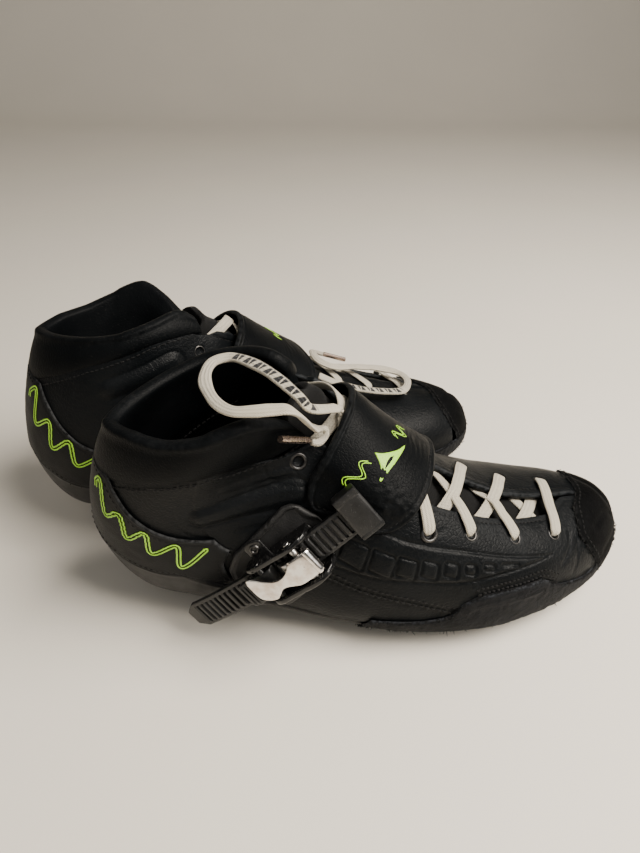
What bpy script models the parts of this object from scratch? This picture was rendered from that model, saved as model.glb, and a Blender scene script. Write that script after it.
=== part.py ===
"""A pair of low-cut speed-skating boots: moulded sole shell with mounting blocks, leather
upper, lacing, and an instep strap closed by a ratchet buckle.

Each boot is built in its own frame: x forward from the back of the heel, y towards the
other boot (the inner side of the foot), z up from the floor. The right boot is modelled;
the left one is its mirror image, apart from the way its lace bow lies.
"""
import math

import bmesh
import bpy
import numpy as np
from mathutils import Matrix, Vector

MM = 0.001

# Where each boot stands: x, y in metres and the turn about z in degrees.
RIGHT_PLACE = (-0.1181, -0.0733, 8.3)
LEFT_PLACE = (-0.1782, 0.0028, 16.1)

# Sections of the boot from the toe (0) to the collar (13), in millimetres. Each section
# lies across the foot, between a point on the instep and one on the sole or heel.
# instep x, z; sole x, z; middle y; half width outer, inner; height of the widest place;
# roundness above and below it.
SECTIONS = (
    (288.0, 34.0, 291.5, 25.0, 6.5, 0.8, 0.8, 0.45, 2.0, 2.0),
    (284.5, 41.5, 287.5, 16.5, 6.0, 14.0, 13.0, 0.42, 2.0, 2.2),
    (276.0, 48.0, 278.0, 12.0, 6.0, 26.0, 23.0, 0.40, 2.0, 2.6),
    (260.0, 53.0, 260.5, 9.5, 4.0, 37.5, 33.5, 0.38, 2.1, 3.2),
    (236.0, 58.0, 234.0, 7.5, 1.0, 46.5, 42.5, 0.36, 2.2, 3.6),
    (208.5, 66.5, 200.0, 6.2, -2.0, 51.0, 47.0, 0.34, 2.2, 3.8),
    (181.5, 79.5, 164.0, 6.0, -3.0, 50.0, 45.0, 0.34, 2.2, 3.6),
    (160.0, 94.0, 127.0, 8.0, -2.0, 46.0, 42.0, 0.35, 2.1, 3.0),
    (144.0, 107.0, 91.0, 10.0, 1.5, 40.0, 38.5, 0.38, 2.1, 2.6),
    (133.0, 117.5, 56.0, 10.0, 5.0, 35.5, 36.0, 0.41, 2.0, 2.2),
    (126.5, 125.5, 24.5, 18.0, 7.5, 33.5, 35.5, 0.43, 2.0, 2.0),
    (121.0, 130.0, 9.0, 49.0, 6.5, 33.0, 36.5, 0.46, 2.0, 1.9),
    (117.0, 134.5, 11.0, 84.0, 1.5, 33.5, 39.0, 0.50, 2.1, 1.7),
    (112.5, 139.5, 23.5, 123.0, -6.0, 32.0, 42.0, 0.53, 2.1, 1.45),
)

# Layers, measured outwards from the boot's outer surface, in millimetres.
UPPER = (0.0, -3.0)
STAY = (-4.0, -4.8)
LINING = (-4.8, -5.8)
PADDING = (-6.0, -9.4)
FOOTBED = (-6.3, -8.6)
OVERLAY = (2.5, 1.3)
SEAM = 0.02  # gap between two panels, in units of the section's outline

# Lines on the surface: where the sole shell meets the upper, and the throat's edges.
# Each is a row of (section, outline) pairs; the outline runs 0 instep, 1 widest, 2 sole.
SOLE_LINE = ((0, 1.96), (0.45, 1.96), (0.9, 1.6), (1.5, 1.45), (7, 1.45), (8, 1.38),
             (9.2, 1.27), (9.9, 1.28), (10.6, 1.53), (11.3, 1.80), (12, 1.975), (13, 1.975))
THROAT_OUTER = ((2.9, -0.11), (3.6, -0.11), (3.85, -0.24), (6.4, -0.34), (9.9, -0.42),
                (11, -0.46), (12, -0.56), (13, -0.72))
THROAT_INNER = ((2.9, -0.09), (4.85, -0.09), (5.5, -0.05), (7.8, 0.08), (9.9, 0.20),
                (11.4, 0.24), (12.3, 0.31), (13, 0.44))
ROWS = (2.95, 3.6, 3.85, 4.7, 5.6, 6.5, 7.4, 8.3, 9.2, 9.9, 10.6, 11.3, 12.0, 12.68)
TOE_ROWS = (0, 0.45, 0.9, 1.5, 2.2)

# Ladder strap: an arc that passes over the outer ankle and down through the buckle.
ARC_RADIUS = 180.0
ARC_MIDDLE = (102.7, -41.8, 64.4)
ARC_SLOPE = 39.0  # degrees below the horizontal, towards the heel
ARC_LEAN = 16.0  # degrees that the strap's face leans upwards
LADDER_HALF_WIDTH = 7.5
LADDER_ENDS = (-43.0, 70.0)
TOOTH_PITCH = 5.5
TOOTH_TOP = 2.2
PIN_PLACE = (-5.0, 6.8)
PIN_RADIUS = 1.6
PAWL_PLACE = (0.8, 6.2)
LATCH_PLACE = (13.5, 5.4)
CHEEK = (8.6, 11.0)

# The instep strap's lift off the boot, along its outline, and its thickness.
STRAP_LIFT = ((-0.66, 0.7), (-0.57, 1.0), (-0.49, 4.6), (0.5, 4.6), (0.8, 0.8))
STRAP_THICKNESS = 2.2

# Mounting blocks and their threaded inserts: 165 mm between the frame bolts.
BOLT_SPACING = 165.0
REAR_BOLT = (69.0, 5.0)
INSERT_RADIUS = 4.5
INSERT_BORE = 3.0

# Lacing.
LACE_RADIUS = 1.2
LACE_ON = 2.6  # lift of the lace's middle on the leather, and in the throat where it
LACE_UNDER = -1.9  # passes under and over its other half
LACE_OVER = 1.2
EYELETS_OUTER = ((3.98, -0.43), (4.83, -0.43), (5.68, -0.45), (6.47, -0.53), (7.35, -0.47),
                 (8.5, -0.48), (9.85, -0.55))
EYELETS_INNER = ((3.72, 0.07), (4.62, 0.08), (5.40, 0.13), (6.3, 0.17), (7.25, 0.23),
                 (8.5, 0.32), (10.6, 0.44))
BOW_RADIUS = 1.4
AGLET_RADIUS = 1.6


def clear_scene():
    for obj in list(bpy.data.objects):
        bpy.data.objects.remove(obj, do_unlink=True)


clear_scene()
PARTS = bpy.data.collections.new("speed_skating_boots")
CUTTERS = bpy.data.collections.new("cutters")
for group in (PARTS, CUTTERS):
    bpy.context.scene.collection.children.link(group)


# ---------------------------------------------------------------- the boot's surface

def section_at(t):
    """The section's ten values at each t, on a smooth curve through the sections."""
    rows = np.array(SECTIONS)
    last = len(rows) - 1
    t = np.clip(np.asarray(t, float), 0, last)
    i = np.minimum(t.astype(int), last - 1)
    u = (t - i)[..., None]
    here, after = rows[i], rows[i + 1]
    before = np.where((i > 0)[..., None], rows[np.maximum(i - 1, 0)], 2 * here - after)
    beyond = np.where((i + 2 <= last)[..., None], rows[np.minimum(i + 2, last)], 2 * after - here)
    return 0.5 * (2 * here + (after - before) * u
                  + (2 * before - 5 * here + 4 * after - beyond) * u**2
                  + (3 * here - before - 3 * after + beyond) * u**3)


def outline(t, v):
    """Points on the outer surface, in millimetres."""
    v = (np.asarray(v, float) + 2) % 4 - 2
    top_x, top_z, low_x, low_z, middle, outer, inner, share, above, below = np.moveaxis(
        section_at(t), -1, 0)
    rise = np.hypot(top_x - low_x, top_z - low_z)
    up_x, up_z = (top_x - low_x) / rise, (top_z - low_z) / rise
    angle = np.abs(v) * math.pi / 2
    upper = np.abs(v) <= 1
    power = 2 / np.where(upper, above, below)
    along = np.abs(np.cos(angle))**power * np.where(upper, (1 - share) * rise, -share * rise)
    side = np.abs(np.sin(angle))**power * np.where(v < 0, outer, inner) * np.sign(v)
    reach = share * rise + along
    return np.stack([low_x + up_x * reach, middle + side, low_z + up_z * reach], -1)


def surface(t, v, lift=0.0):
    """Points lifted off the outer surface along its normal, in millimetres."""
    t, v = np.broadcast_arrays(np.asarray(t, float), np.asarray(v, float))
    last = len(SECTIONS) - 1
    along = outline(np.clip(t + 0.04, 0, last), v) - outline(np.clip(t - 0.04, 0, last), v)
    around = outline(t, v + 0.03) - outline(t, v - 0.03)
    normal = np.cross(around, along)
    normal /= np.linalg.norm(normal, axis=-1, keepdims=True)
    return outline(t, v) + normal * np.asarray(lift, float)[..., None]


def line(pairs, t):
    """A line on the surface, read between its own points."""
    return np.interp(t, [p[0] for p in pairs], [p[1] for p in pairs])


# ---------------------------------------------------------------- making objects

def material(name, colour, roughness, metallic=0.0):
    made = bpy.data.materials.new(name)
    made.use_nodes = True
    shader = made.node_tree.nodes["Principled BSDF"]
    shader.inputs["Base Color"].default_value = (*colour, 1.0)
    shader.inputs["Roughness"].default_value = roughness
    shader.inputs["Metallic"].default_value = metallic
    made.diffuse_color = (*colour, 1.0)
    return made


def black_leather():
    return material("black_leather", (0.025, 0.025, 0.027), 0.45)


def black_suede():
    return material("black_suede", (0.02, 0.02, 0.021), 0.9)


def black_lining():
    return material("black_lining", (0.012, 0.012, 0.013), 0.7)


def black_composite():
    return material("black_composite", (0.015, 0.015, 0.016), 0.25)


def black_rubber():
    return material("black_rubber", (0.03, 0.03, 0.03), 0.6)


def black_plastic():
    return material("black_plastic", (0.018, 0.018, 0.019), 0.3)


def cream_lace():
    return material("cream_lace", (0.72, 0.68, 0.58), 0.85)


def chrome():
    return material("chrome", (0.75, 0.72, 0.68), 0.18, 1.0)


def steel():
    return material("steel", (0.6, 0.6, 0.6), 0.3, 1.0)


def add_object(name, data, finish, pivot=(0.0, 0.0, 0.0), group=None):
    """An object whose data is in the boot's frame, with its origin moved to pivot."""
    if isinstance(data, bpy.types.Mesh):
        data.transform(Matrix.Translation(-Vector(pivot)))
    made = bpy.data.objects.new(name, data)
    made.location = pivot
    data.materials.append(finish)
    (group or PARTS).objects.link(made)
    return made


def mesh_from(name, bm):
    bmesh.ops.recalc_face_normals(bm, faces=bm.faces)
    data = bpy.data.meshes.new(name)
    bm.to_mesh(data)
    bm.free()
    data.shade_smooth()
    data.set_sharp_from_angle(angle=math.radians(40))
    return data


def panel(name, t, v, layer, finish, keep=None, ring=False, closed_tip=False):
    """A panel between two layers of the boot's surface: a loft over a grid of t and v.

    keep marks the grid's cells that are there, ring joins the last column to the first,
    and closed_tip closes row 0 over the toe's tip.
    """
    t, v = np.broadcast_arrays(np.asarray(t, float), np.asarray(v, float))
    shape = t.shape
    cells = (shape[0] - 1, shape[1] if ring else shape[1] - 1)
    keep = np.ones(cells, bool) if keep is None else keep
    bm = bmesh.new()
    sides = []
    for lift in layer:
        points = surface(t, v, np.broadcast_to(lift, shape)) * MM
        sides.append([[bm.verts.new(p) for p in row] for row in points])
    used = {}
    for i, j in zip(*np.nonzero(keep)):
        k = (j + 1) % shape[1]
        corners = ((i, j), (i, k), (i + 1, k), (i + 1, j))
        for side, order in ((0, corners), (1, corners[::-1])):
            bm.faces.new([sides[side][a][b] for a, b in order])
        for a, b in zip(corners, corners[1:] + corners[:1]):
            used.setdefault(frozenset((a, b)), []).append((a, b))
    edges = [found[0] for found in used.values() if len(found) == 1]
    if closed_tip:
        edges = [edge for edge in edges if edge[0][0] or edge[1][0]]
        for side in sides:
            bm.faces.new(side[0])
        if not ring:
            edges += [((0, shape[1] - 1), (0, 0))]
    for a, b in edges:
        bm.faces.new([sides[0][a[0]][a[1]], sides[1][a[0]][a[1]],
                      sides[1][b[0]][b[1]], sides[0][b[0]][b[1]]])
    loose = [vert for vert in bm.verts if not vert.link_faces]
    bmesh.ops.delete(bm, geom=loose, context="VERTS")
    return add_object(name, mesh_from(name, bm), finish)


def spread(start, end, count):
    """Columns from one line to another: a grid with count cells in each row."""
    share = np.linspace(0, 1, count + 1)
    return np.asarray(start)[:, None] * (1 - share) + np.asarray(end)[:, None] * share


def around_throat(rows, outer, inner, bridge, count, layer, finish, name, tip=False):
    """A U-shaped panel: two bands along the throat or the toe, joined over bridge rows."""
    rows = np.asarray(rows, float)
    left = spread(outer[0], outer[1], count)
    right = spread(inner[0], inner[1], count)
    v = np.hstack([left, right])
    t = np.repeat(rows[:, None], v.shape[1], 1)
    keep = np.ones((len(rows) - 1, v.shape[1] - 1), bool)
    keep[bridge:, count] = False
    return panel(name, t, v, layer, finish, keep, closed_tip=tip)


# ---------------------------------------------------------------- the ladder's arc

SLOPE = math.radians(ARC_SLOPE)
ALONG = Vector((-math.cos(SLOPE), 0.0, -math.sin(SLOPE)))
LEAN = math.radians(ARC_LEAN)
OUTWARD = (Vector((0.0, -1.0, 0.0)) * math.cos(LEAN)
           + Vector((-math.sin(SLOPE), 0.0, math.cos(SLOPE))) * math.sin(LEAN))
ACROSS = ALONG.cross(OUTWARD)
ARC_CENTRE = Vector(ARC_MIDDLE) - OUTWARD * ARC_RADIUS


def on_arc(s, n, w):
    """A point s along the ladder's arc, n outwards from it and w across it, in metres."""
    angle = s / ARC_RADIUS
    radial = OUTWARD * math.cos(angle) + ALONG * math.sin(angle)
    return (ARC_CENTRE + radial * (ARC_RADIUS + n) + ACROSS * w) * MM


def arc_loft(name, stations, finish, pivot=None):
    """A bar along the arc, through stations of s, n low, n high, w low, w high."""
    bm = bmesh.new()
    rings = []
    for s, low, high, left, right in stations:
        corners = ((low, left), (low, right), (high, right), (high, left))
        rings.append([bm.verts.new(on_arc(s, n, w)) for n, w in corners])
    for ring, following in zip(rings, rings[1:]):
        for k in range(4):
            bm.faces.new([ring[k], ring[k - 1], following[k - 1], following[k]])
    bm.faces.new(rings[0])
    bm.faces.new(rings[-1])
    place = on_arc(*pivot, 0) if pivot else (0, 0, 0)
    return add_object(name, mesh_from(name, bm), finish, place)


def arc_rod(name, place, radius, ends, finish, sides=16, group=None):
    """A round rod across the arc at place (s, n), from w = ends[0] to ends[1]."""
    bm = bmesh.new()
    bmesh.ops.create_cone(bm, cap_ends=True, segments=sides, radius1=radius * MM,
                          radius2=radius * MM, depth=(ends[1] - ends[0]) * MM)
    turn = Vector((0, 0, 1)).rotation_difference(ACROSS).to_matrix().to_4x4()
    middle = on_arc(*place, (ends[0] + ends[1]) / 2)
    bmesh.ops.transform(bm, matrix=Matrix.Translation(middle) @ turn, verts=bm.verts)
    return add_object(name, mesh_from(name, bm), finish, group=group)


def hide(cutter):
    cutter.hide_render = True
    cutter.display_type = "WIRE"


def as_cutter(piece):
    PARTS.objects.unlink(piece)
    CUTTERS.objects.link(piece)
    return piece


def cut(target, cutter, operation="DIFFERENCE"):
    hide(cutter)
    modifier = target.modifiers.new(cutter.name, "BOOLEAN")
    modifier.operation = operation
    modifier.object = cutter


def bevel(target, width, segments=1):
    modifier = target.modifiers.new("edges", "BEVEL")
    modifier.width = width * MM
    modifier.segments = segments
    modifier.limit_method = "ANGLE"


def box(name, low, high, finish, group=None):
    bm = bmesh.new()
    size = [(b - a) * MM for a, b in zip(low, high)]
    middle = [(a + b) / 2 * MM for a, b in zip(low, high)]
    matrix = Matrix.Translation(middle) @ Matrix.Diagonal((*size, 1.0))
    bmesh.ops.create_cube(bm, size=1.0, matrix=matrix)
    return add_object(name, mesh_from(name, bm), finish, group=group)


def tube(name, points, radius, finish, resolution=2):
    """A cord or a wire along points in metres, as a curve with filled ends."""
    data = bpy.data.curves.new(name, "CURVE")
    data.dimensions = "3D"
    data.bevel_depth = radius * MM
    data.bevel_resolution = resolution
    data.use_fill_caps = True
    spline = data.splines.new("POLY")
    spline.points.add(len(points) - 1)
    for spot, place in zip(spline.points, points):
        spot.co = (*place, 1.0)
    return add_object(name, data, finish)


def smooth_route(points, step):
    """Points every step along a smooth curve through the route's own points."""
    points = np.array(points, float)
    last = len(points) - 1
    fine = []
    for i in range(last):
        before, here = points[max(i - 1, 0)], points[i]
        after, beyond = points[i + 1], points[min(i + 2, last)]
        for u in np.linspace(0, 1, 12, endpoint=False):
            fine.append(0.5 * (2 * here + (after - before) * u
                               + (2 * before - 5 * here + 4 * after - beyond) * u**2
                               + (3 * here - before - 3 * after + beyond) * u**3))
    fine = np.array(fine + [points[last]])
    length = np.r_[0, np.cumsum(np.linalg.norm(np.diff(fine, axis=0), axis=1))]
    count = max(2, round(length[-1] / step))
    places = np.linspace(0, length[-1], count + 1)
    return np.stack([np.interp(places, length, fine[:, k]) for k in range(3)], -1)


# ---------------------------------------------------------------- sole

def sole_shell():
    rows = np.array((0.9, 1.5, 2.2) + ROWS[:12] + (11.85,))
    start = line(SOLE_LINE, rows) + SEAM
    v = spread(start, 4 - start, 8)
    panel("sole_shell", rows[:, None], v, UPPER, black_composite())


def mount_block(name, low, high, bolt):
    """A block with a flat foot and a bore for its insert."""
    made = box(name, low, high, black_composite())
    bm = bmesh.new()
    bmesh.ops.create_cone(bm, cap_ends=True, segments=14, depth=0.08,
                          radius1=(INSERT_RADIUS + 0.3) * MM, radius2=(INSERT_RADIUS + 0.3) * MM,
                          matrix=Matrix.Translation((bolt[0] * MM, bolt[1] * MM, 0)))
    bore = add_object(name + "_bore", mesh_from(name + "_bore", bm), black_composite(),
                      group=CUTTERS)
    bevel(made, 1.5)
    cut(made, bore)


def mount_insert(name, bolt, top):
    """A threaded bush, open from below, turned from its profile."""
    outer, inner = INSERT_RADIUS * MM, INSERT_BORE * MM
    low, high = 0.4 * MM, top * MM
    bm = bmesh.new()
    ring = [bm.verts.new(p) for p in ((outer, 0, high), (outer, 0, low), (inner, 0, low),
                                      (inner, 0, high))]
    for a, b in zip(ring, ring[1:] + ring[:1]):
        bm.edges.new((a, b))
    data = bpy.data.meshes.new(name)
    bm.to_mesh(data)
    bm.free()
    made = add_object(name, data, steel())
    made.location = (bolt[0] * MM, bolt[1] * MM, 0)
    turned = made.modifiers.new("turned", "SCREW")
    turned.steps = 14
    turned.render_steps = 14
    turned.use_merge_vertices = True
    turned.merge_threshold = 0.00005


def sole():
    front = (REAR_BOLT[0] + BOLT_SPACING, -1.0)
    sole_shell()
    mount_block("front_mount_block", (208, -21, 0), (252, 19, 5.3), front)
    mount_insert("front_mount_insert", front, 4.9)
    mount_block("rear_mount_block", (57, -3, 0), (82, 13, 9.0), REAR_BOLT)
    mount_insert("rear_mount_insert", REAR_BOLT, 8.6)


# ---------------------------------------------------------------- upper

def toe_cap():
    rows = np.array(TOE_ROWS + (2.85,))
    edge = line(SOLE_LINE, rows)
    panel("toe_cap", rows[:, None], spread(-edge, edge, 10), UPPER, black_suede(),
          closed_tip=True)


def quarters():
    rows = np.array(ROWS)
    low = line(SOLE_LINE, rows)
    panel("quarter_lateral", rows[:, None], spread(-low, line(THROAT_OUTER, rows), 8), UPPER,
          black_leather())
    panel("quarter_medial", rows[:, None], spread(line(THROAT_INNER, rows), low, 8), UPPER,
          black_leather())


def heel_counter():
    lower = ((1.0, 9.8), (1.1, 9.65), (1.2, 9.3), (1.3, 10.0), (1.5, 10.5), (1.8, 11.3), (2, 11.6))
    upper = ((1.0, 10.15), (1.2, 10.8), (1.35, 11.37), (1.55, 12.05), (1.67, 12.35), (2, 12.6))
    v = np.array((1.0, 1.1, 1.2, 1.32, 1.5, 1.66, 1.83, 2.0))
    v = np.r_[v, 4 - v[-2::-1]]
    near = 2 - np.abs(v - 2)
    t = spread(line(lower, near), line(upper, near), 2).T
    panel("heel_counter", t, v[None, :], OVERLAY, black_leather())


def toe_bumper():
    rows = np.array(TOE_ROWS + (2.95, 3.85, 4.7, 5.6, 6.5, 6.8))
    top = line(((0, 0.8), (0.9, 0.85), (2.2, 0.95), (3.3, 0.97), (4.3, 0.78), (5.0, 0.82),
                (5.7, 0.98), (6.8, 1.17)), rows)
    low = line(((0, 1.9), (0.45, 1.9), (0.9, 1.6), (1.5, 1.5), (6.8, 1.5)), rows)
    around_throat(rows, (-low, -top), (top, low), 1, 3, OVERLAY, black_suede(), "toe_bumper",
                  tip=True)


def eyelet_stay():
    rows = np.array((3.15,) + ROWS[1:13] + (12.3,))
    outer, inner = line(THROAT_OUTER, rows), line(THROAT_INNER, rows)
    outer[0], inner[0] = -0.24, 0.0
    outer[1], inner[1] = -0.24, 0.0
    around_throat(rows, (np.clip(outer - 0.15, -0.69, -0.58), outer),
                  (inner, np.full(len(rows), 0.50)), 1, 3, STAY, black_lining(), "eyelet_stay")


def lining():
    rows = np.array((0.9, 1.5, 2.2, 2.9, 3.1) + ROWS[1:12])
    start = np.full(len(rows), 0.56)
    v = spread(start, np.full(len(rows), 3.34), 16)
    keep = np.ones((len(rows) - 1, 17), bool)
    keep[4:, 16] = False
    panel("lining", rows[:, None], v, LINING, black_lining(), keep, ring=True)


def collar():
    """The padded roll inside the top edge, round the heel from one throat edge to the other."""
    t = np.array((11.6, 12.0, 12.68, 12.82, 13.0))
    outer = np.array((-4.6, -4.5, -3.9, -0.1, -1.6))
    inner = np.array((-6.0, -9.0, -10.0, -10.0, -8.0))
    v = np.linspace(0.72, 3.28, 15)
    panel("collar", t[:, None], v[None, :], (outer[:, None], inner[:, None]), black_leather())


def insole():
    rows = np.array((1.3, 2.2) + ROWS[:11])
    v = spread(np.full(len(rows), 1.5), np.full(len(rows), 2.5), 4)
    panel("insole", rows[:, None], v, FOOTBED, black_lining())


def tongue():
    rows = np.array((3.4,) + ROWS[2:12] + (11.7,))
    lateral = line(((3.4, -0.60), (9, -0.60), (11.5, -0.52), (13, -0.48)), rows)
    medial = line(((3.4, 0.50), (9, 0.50), (11.5, 0.36), (13, 0.30)), rows)
    v = spread(lateral, medial, 5)
    panel("tongue", rows[:, None], v, PADDING, black_lining())


def upper():
    toe_cap()
    quarters()
    heel_counter()
    toe_bumper()
    eyelet_stay()
    lining()
    collar()
    insole()
    tongue()


# ---------------------------------------------------------------- lacing

def surface_route(places):
    """A route through (t, v, lift) places, in metres."""
    return [surface(t, v, lift) * MM for t, v, lift in places]


def where_it_crosses(edge, start, end):
    """The share of the way from start to end at which a strand meets a throat edge."""
    share = 0.5
    for _ in range(4):
        t = start[0] + (end[0] - start[0]) * share
        share = (line(edge, t) - start[1]) / (end[1] - start[1])
    return share


def crossings():
    """The lace's route: down from the outer top eyelet, over the front bar and up again."""
    outer, inner = EYELETS_OUTER[::-1], EYELETS_INNER[::-1]
    down = [(outer, inner)[i % 2][i] for i in range(7)]
    back = [(inner, outer)[i % 2][i] for i in range(7)][::-1]
    route = []
    for strand, middle in ((down, LACE_UNDER), (back, LACE_OVER)):
        for (t, v), (next_t, next_v) in zip(strand, strand[1:]):
            near, far = sorted(where_it_crosses(edge, (t, v), (next_t, next_v))
                               for edge in (THROAT_OUTER, THROAT_INNER))
            stops = ((0, LACE_ON), (near / 2, LACE_ON), (near - 0.03, LACE_ON),
                     ((near + far) / 2, middle), (far + 0.03, LACE_ON), ((1 + far) / 2, LACE_ON))
            for share, lift in stops:
                route.append((t + (next_t - t) * share, v + (next_v - v) * share, lift))
        route.append((*strand[-1], LACE_ON))
        if strand is down:
            (t, v), (next_t, next_v) = strand[-1], back[0]
            for share in (0.2, 0.4, 0.6, 0.8):
                route.append((t + (next_t - t) * share, v + (next_v - v) * share, LACE_ON))
    return route


def lacing():
    tube("lacing", surface_route(crossings()), LACE_RADIUS, cream_lace())


def right_bow():
    """A loop that leaves the strap's rear edge, hangs over the opening and comes back, and
    the lace's end beside it with its metal tip."""
    leaves = surface_route(((9.5, -0.22, 4.2), (9.7, -0.22, 5.6)))
    hangs = [Vector(place) * MM for place in (
        (113.5, -20, 131.5), (108, -19, 137.5), (100, -11.5, 142.5), (93, -2, 143.5),
        (85, 6.5, 143.5), (79, 9.5, 143), (72.5, 6.5, 142.5), (69.5, -3, 142), (70, -14, 142),
        (74, -27, 142), (80, -34, 142), (88, -36, 142.5), (96, -36, 142.5), (104, -34, 140))]
    returns = surface_route(((10.6, -0.40, 6.4), (9.85, -0.36, 5.2), (9.6, -0.38, 4.6),
                             (9.75, -0.43, 5.4), (10.1, -0.45, 6.0)))
    tip = surface_route(((10.3, -0.455, 6.0), (12.2, -0.60, 5.4)))
    return leaves + hangs + returns, tip


def left_bow():
    """A loop that leaves the strap's front edge and lies forward over the vamp, and the
    lace's end beside it."""
    loop = surface_route(((6.1, 0.22, 5.2), (5.75, 0.25, 6.5), (5.2, 0.26, 7.5), (4.6, 0.24, 7.5),
                          (4.0, 0.19, 7.0), (3.66, 0.03, 6.8), (3.75, -0.10, 7.0),
                          (4.3, -0.11, 7.5), (5.0, -0.03, 7.5), (5.6, 0.05, 6.6),
                          (5.95, 0.02, 5.8), (5.95, -0.12, 5.6), (5.75, -0.23, 5.4),
                          (5.5, -0.31, 5.4)))
    tip = surface_route(((5.43, -0.325, 5.7), (4.86, -0.36, 5.7)))
    return loop, tip


def lace_bow(name, tip_name, route):
    loop, tip = route
    points = smooth_route(loop, 0.008)
    made = tube(name, points, BOW_RADIUS, cream_lace())
    start, end = (Vector(place) for place in tip)
    bm = bmesh.new()
    bmesh.ops.create_cone(bm, cap_ends=True, segments=12, radius1=AGLET_RADIUS * MM,
                          radius2=AGLET_RADIUS * MM, depth=(end - start).length)
    turn = Vector((0, 0, 1)).rotation_difference(end - start).to_matrix().to_4x4()
    bmesh.ops.transform(bm, matrix=Matrix.Translation((start + end) / 2) @ turn, verts=bm.verts)
    return made, add_object(tip_name, mesh_from(tip_name, bm), steel())


# ---------------------------------------------------------------- instep strap and buckle

def instep_strap():
    front = ((-0.66, 7.5), (-0.57, 7.06), (-0.12, 6.47), (0.15, 6.2), (0.5, 6.3), (0.8, 6.6))
    rear = ((-0.66, 9.0), (-0.58, 9.25), (-0.45, 9.3), (0, 9.35), (0.5, 9.2), (0.8, 9.0))
    v = np.array((-0.66, -0.57, -0.48, -0.36, -0.24, -0.12, 0.0, 0.12, 0.25, 0.38, 0.5, 0.65, 0.8))
    lift = line(STRAP_LIFT, v)
    t = spread(line(front, v), line(rear, v), 5).T
    layer = (lift[None, :] + STRAP_THICKNESS, lift[None, :])
    panel("instep_strap", t, v[None, :], layer, black_leather())


def strap_anchor():
    """The moulded plate that holds the strap's fixed end to the inner side."""
    v = np.array((0.64, 0.74, 0.83, 0.86, 0.95, 1.05))
    low = np.array((3.6, 3.6, 3.6, 0.6, 0.6, 0.6))
    low[:3] = line(STRAP_LIFT, v[:3]) + STRAP_THICKNESS + 0.6
    high = np.array((6.4, 5.8, 5.2, 4.8, 3.4, 2.6))
    t = np.array((7.3, 7.75, 8.2, 8.6))
    panel("strap_anchor", t[:, None], v[None, :], (high[None, :], low[None, :]),
          black_plastic())


def strap_keeper():
    """The loop on the strap's end that the ladder passes through."""
    body = [(s, -2.4, 4.8, -10.5, 12.5) for s in (-43, -37, -31)]
    hole = [(s, -1.4, 2.7, -8, 8) for s in (-47, -37, -27)]
    made = arc_loft("strap_keeper", body, black_plastic())
    cut(made, as_cutter(arc_loft("keeper_slot", hole, black_plastic())))


def ladder_strap():
    """A toothed strip; its free end is cut to a blunt point."""
    start, end = LADDER_ENDS
    wide = LADDER_HALF_WIDTH
    stations = [(start, -1.0, 1.0, -wide + 2, wide - 2), (start + 2, -1.0, 1.0, -wide, wide)]
    for i in range(int((end - start - 12) / TOOTH_PITCH)):
        s = start + 4 + i * TOOTH_PITCH
        stations.append((s, -1.0, 1.0, -wide, wide))
        stations.append((s + 0.7 * TOOTH_PITCH, -1.0, TOOTH_TOP, -wide, wide))
    stations.append((end - 6, -1.0, 1.0, -wide, wide))
    stations.append((end - 1.5, -1.0, 1.0, -wide + 4, wide - 4))
    stations.append((end, -0.7, 0.7, -wide + 4.6, wide - 4.6))
    made = arc_loft("ladder_strap", stations, black_plastic())
    origin = ARC_CENTRE * MM
    made.data.transform(Matrix.Translation(-origin))
    made.location = origin


def buckle_plate():
    """The ribbed rubber pad between the buckle and the upper."""
    v = np.array((0.70, 0.80, 0.90, 1.0, 1.1, 1.2, 1.26))
    rear = line(((0.70, 9.4), (0.8, 9.5), (1.0, 9.58), (1.1, 9.42), (1.2, 9.0), (1.26, 8.9)), v)
    front = line(((0.70, 8.25), (1.0, 7.95), (1.26, 8.1)), v)
    t = spread(front, rear, 3).T
    panel("buckle_plate", t, -v[None, :], (3.2, 0.6), black_rubber())


def buckle_housing():
    """The channel that guides the ladder: a floor, two cheeks and an ear for the rivet."""
    left, right = CHEEK
    floor = [(s, -3.4, -1.5, -right, right) for s in (-16, -7, 2, 11, 20)]
    made = arc_loft("buckle_housing", floor, black_plastic())
    ear = [(s, -2.9, -1.7, right - 1.2, edge) for s, edge in ((6.7, 18.6), (11.7, 19.4), (16.7, 18))]
    cheek = ((-15, 4.0), (-11, 9.0), (-5, 10.6), (1, 9.6), (11, 8.2), (18, 7.4), (19.6, 4.0))
    cut(made, as_cutter(arc_loft("ear", ear, black_plastic())), "UNION")
    for name, low, high in (("cheek_low", -right - 0.3, -left), ("cheek_high", left, right + 0.3)):
        outline_of_cheek = [(s, -3.0, top, low, high) for s, top in cheek]
        cut(made, as_cutter(arc_loft(name, outline_of_cheek, black_plastic())), "UNION")
    for name, place in (("pin_bore", PIN_PLACE), ("latch_bore", LATCH_PLACE)):
        cut(made, arc_rod(name, place, PIN_RADIUS + 0.3, (-14, 14), black_plastic(), 14, CUTTERS))


def base_rivet():
    bm = bmesh.new()
    bmesh.ops.create_cone(bm, cap_ends=True, segments=16, radius1=3.2 * MM, radius2=2.4 * MM,
                          depth=1.2 * MM)
    axis = on_arc(12, 1, 15) - on_arc(12, 0, 15)
    turn = Vector((0, 0, 1)).rotation_difference(axis).to_matrix().to_4x4()
    place = Matrix.Translation(on_arc(12, -0.75, 15))
    bmesh.ops.transform(bm, matrix=place @ turn, verts=bm.verts)
    add_object("base_rivet", mesh_from("base_rivet", bm), steel())


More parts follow.
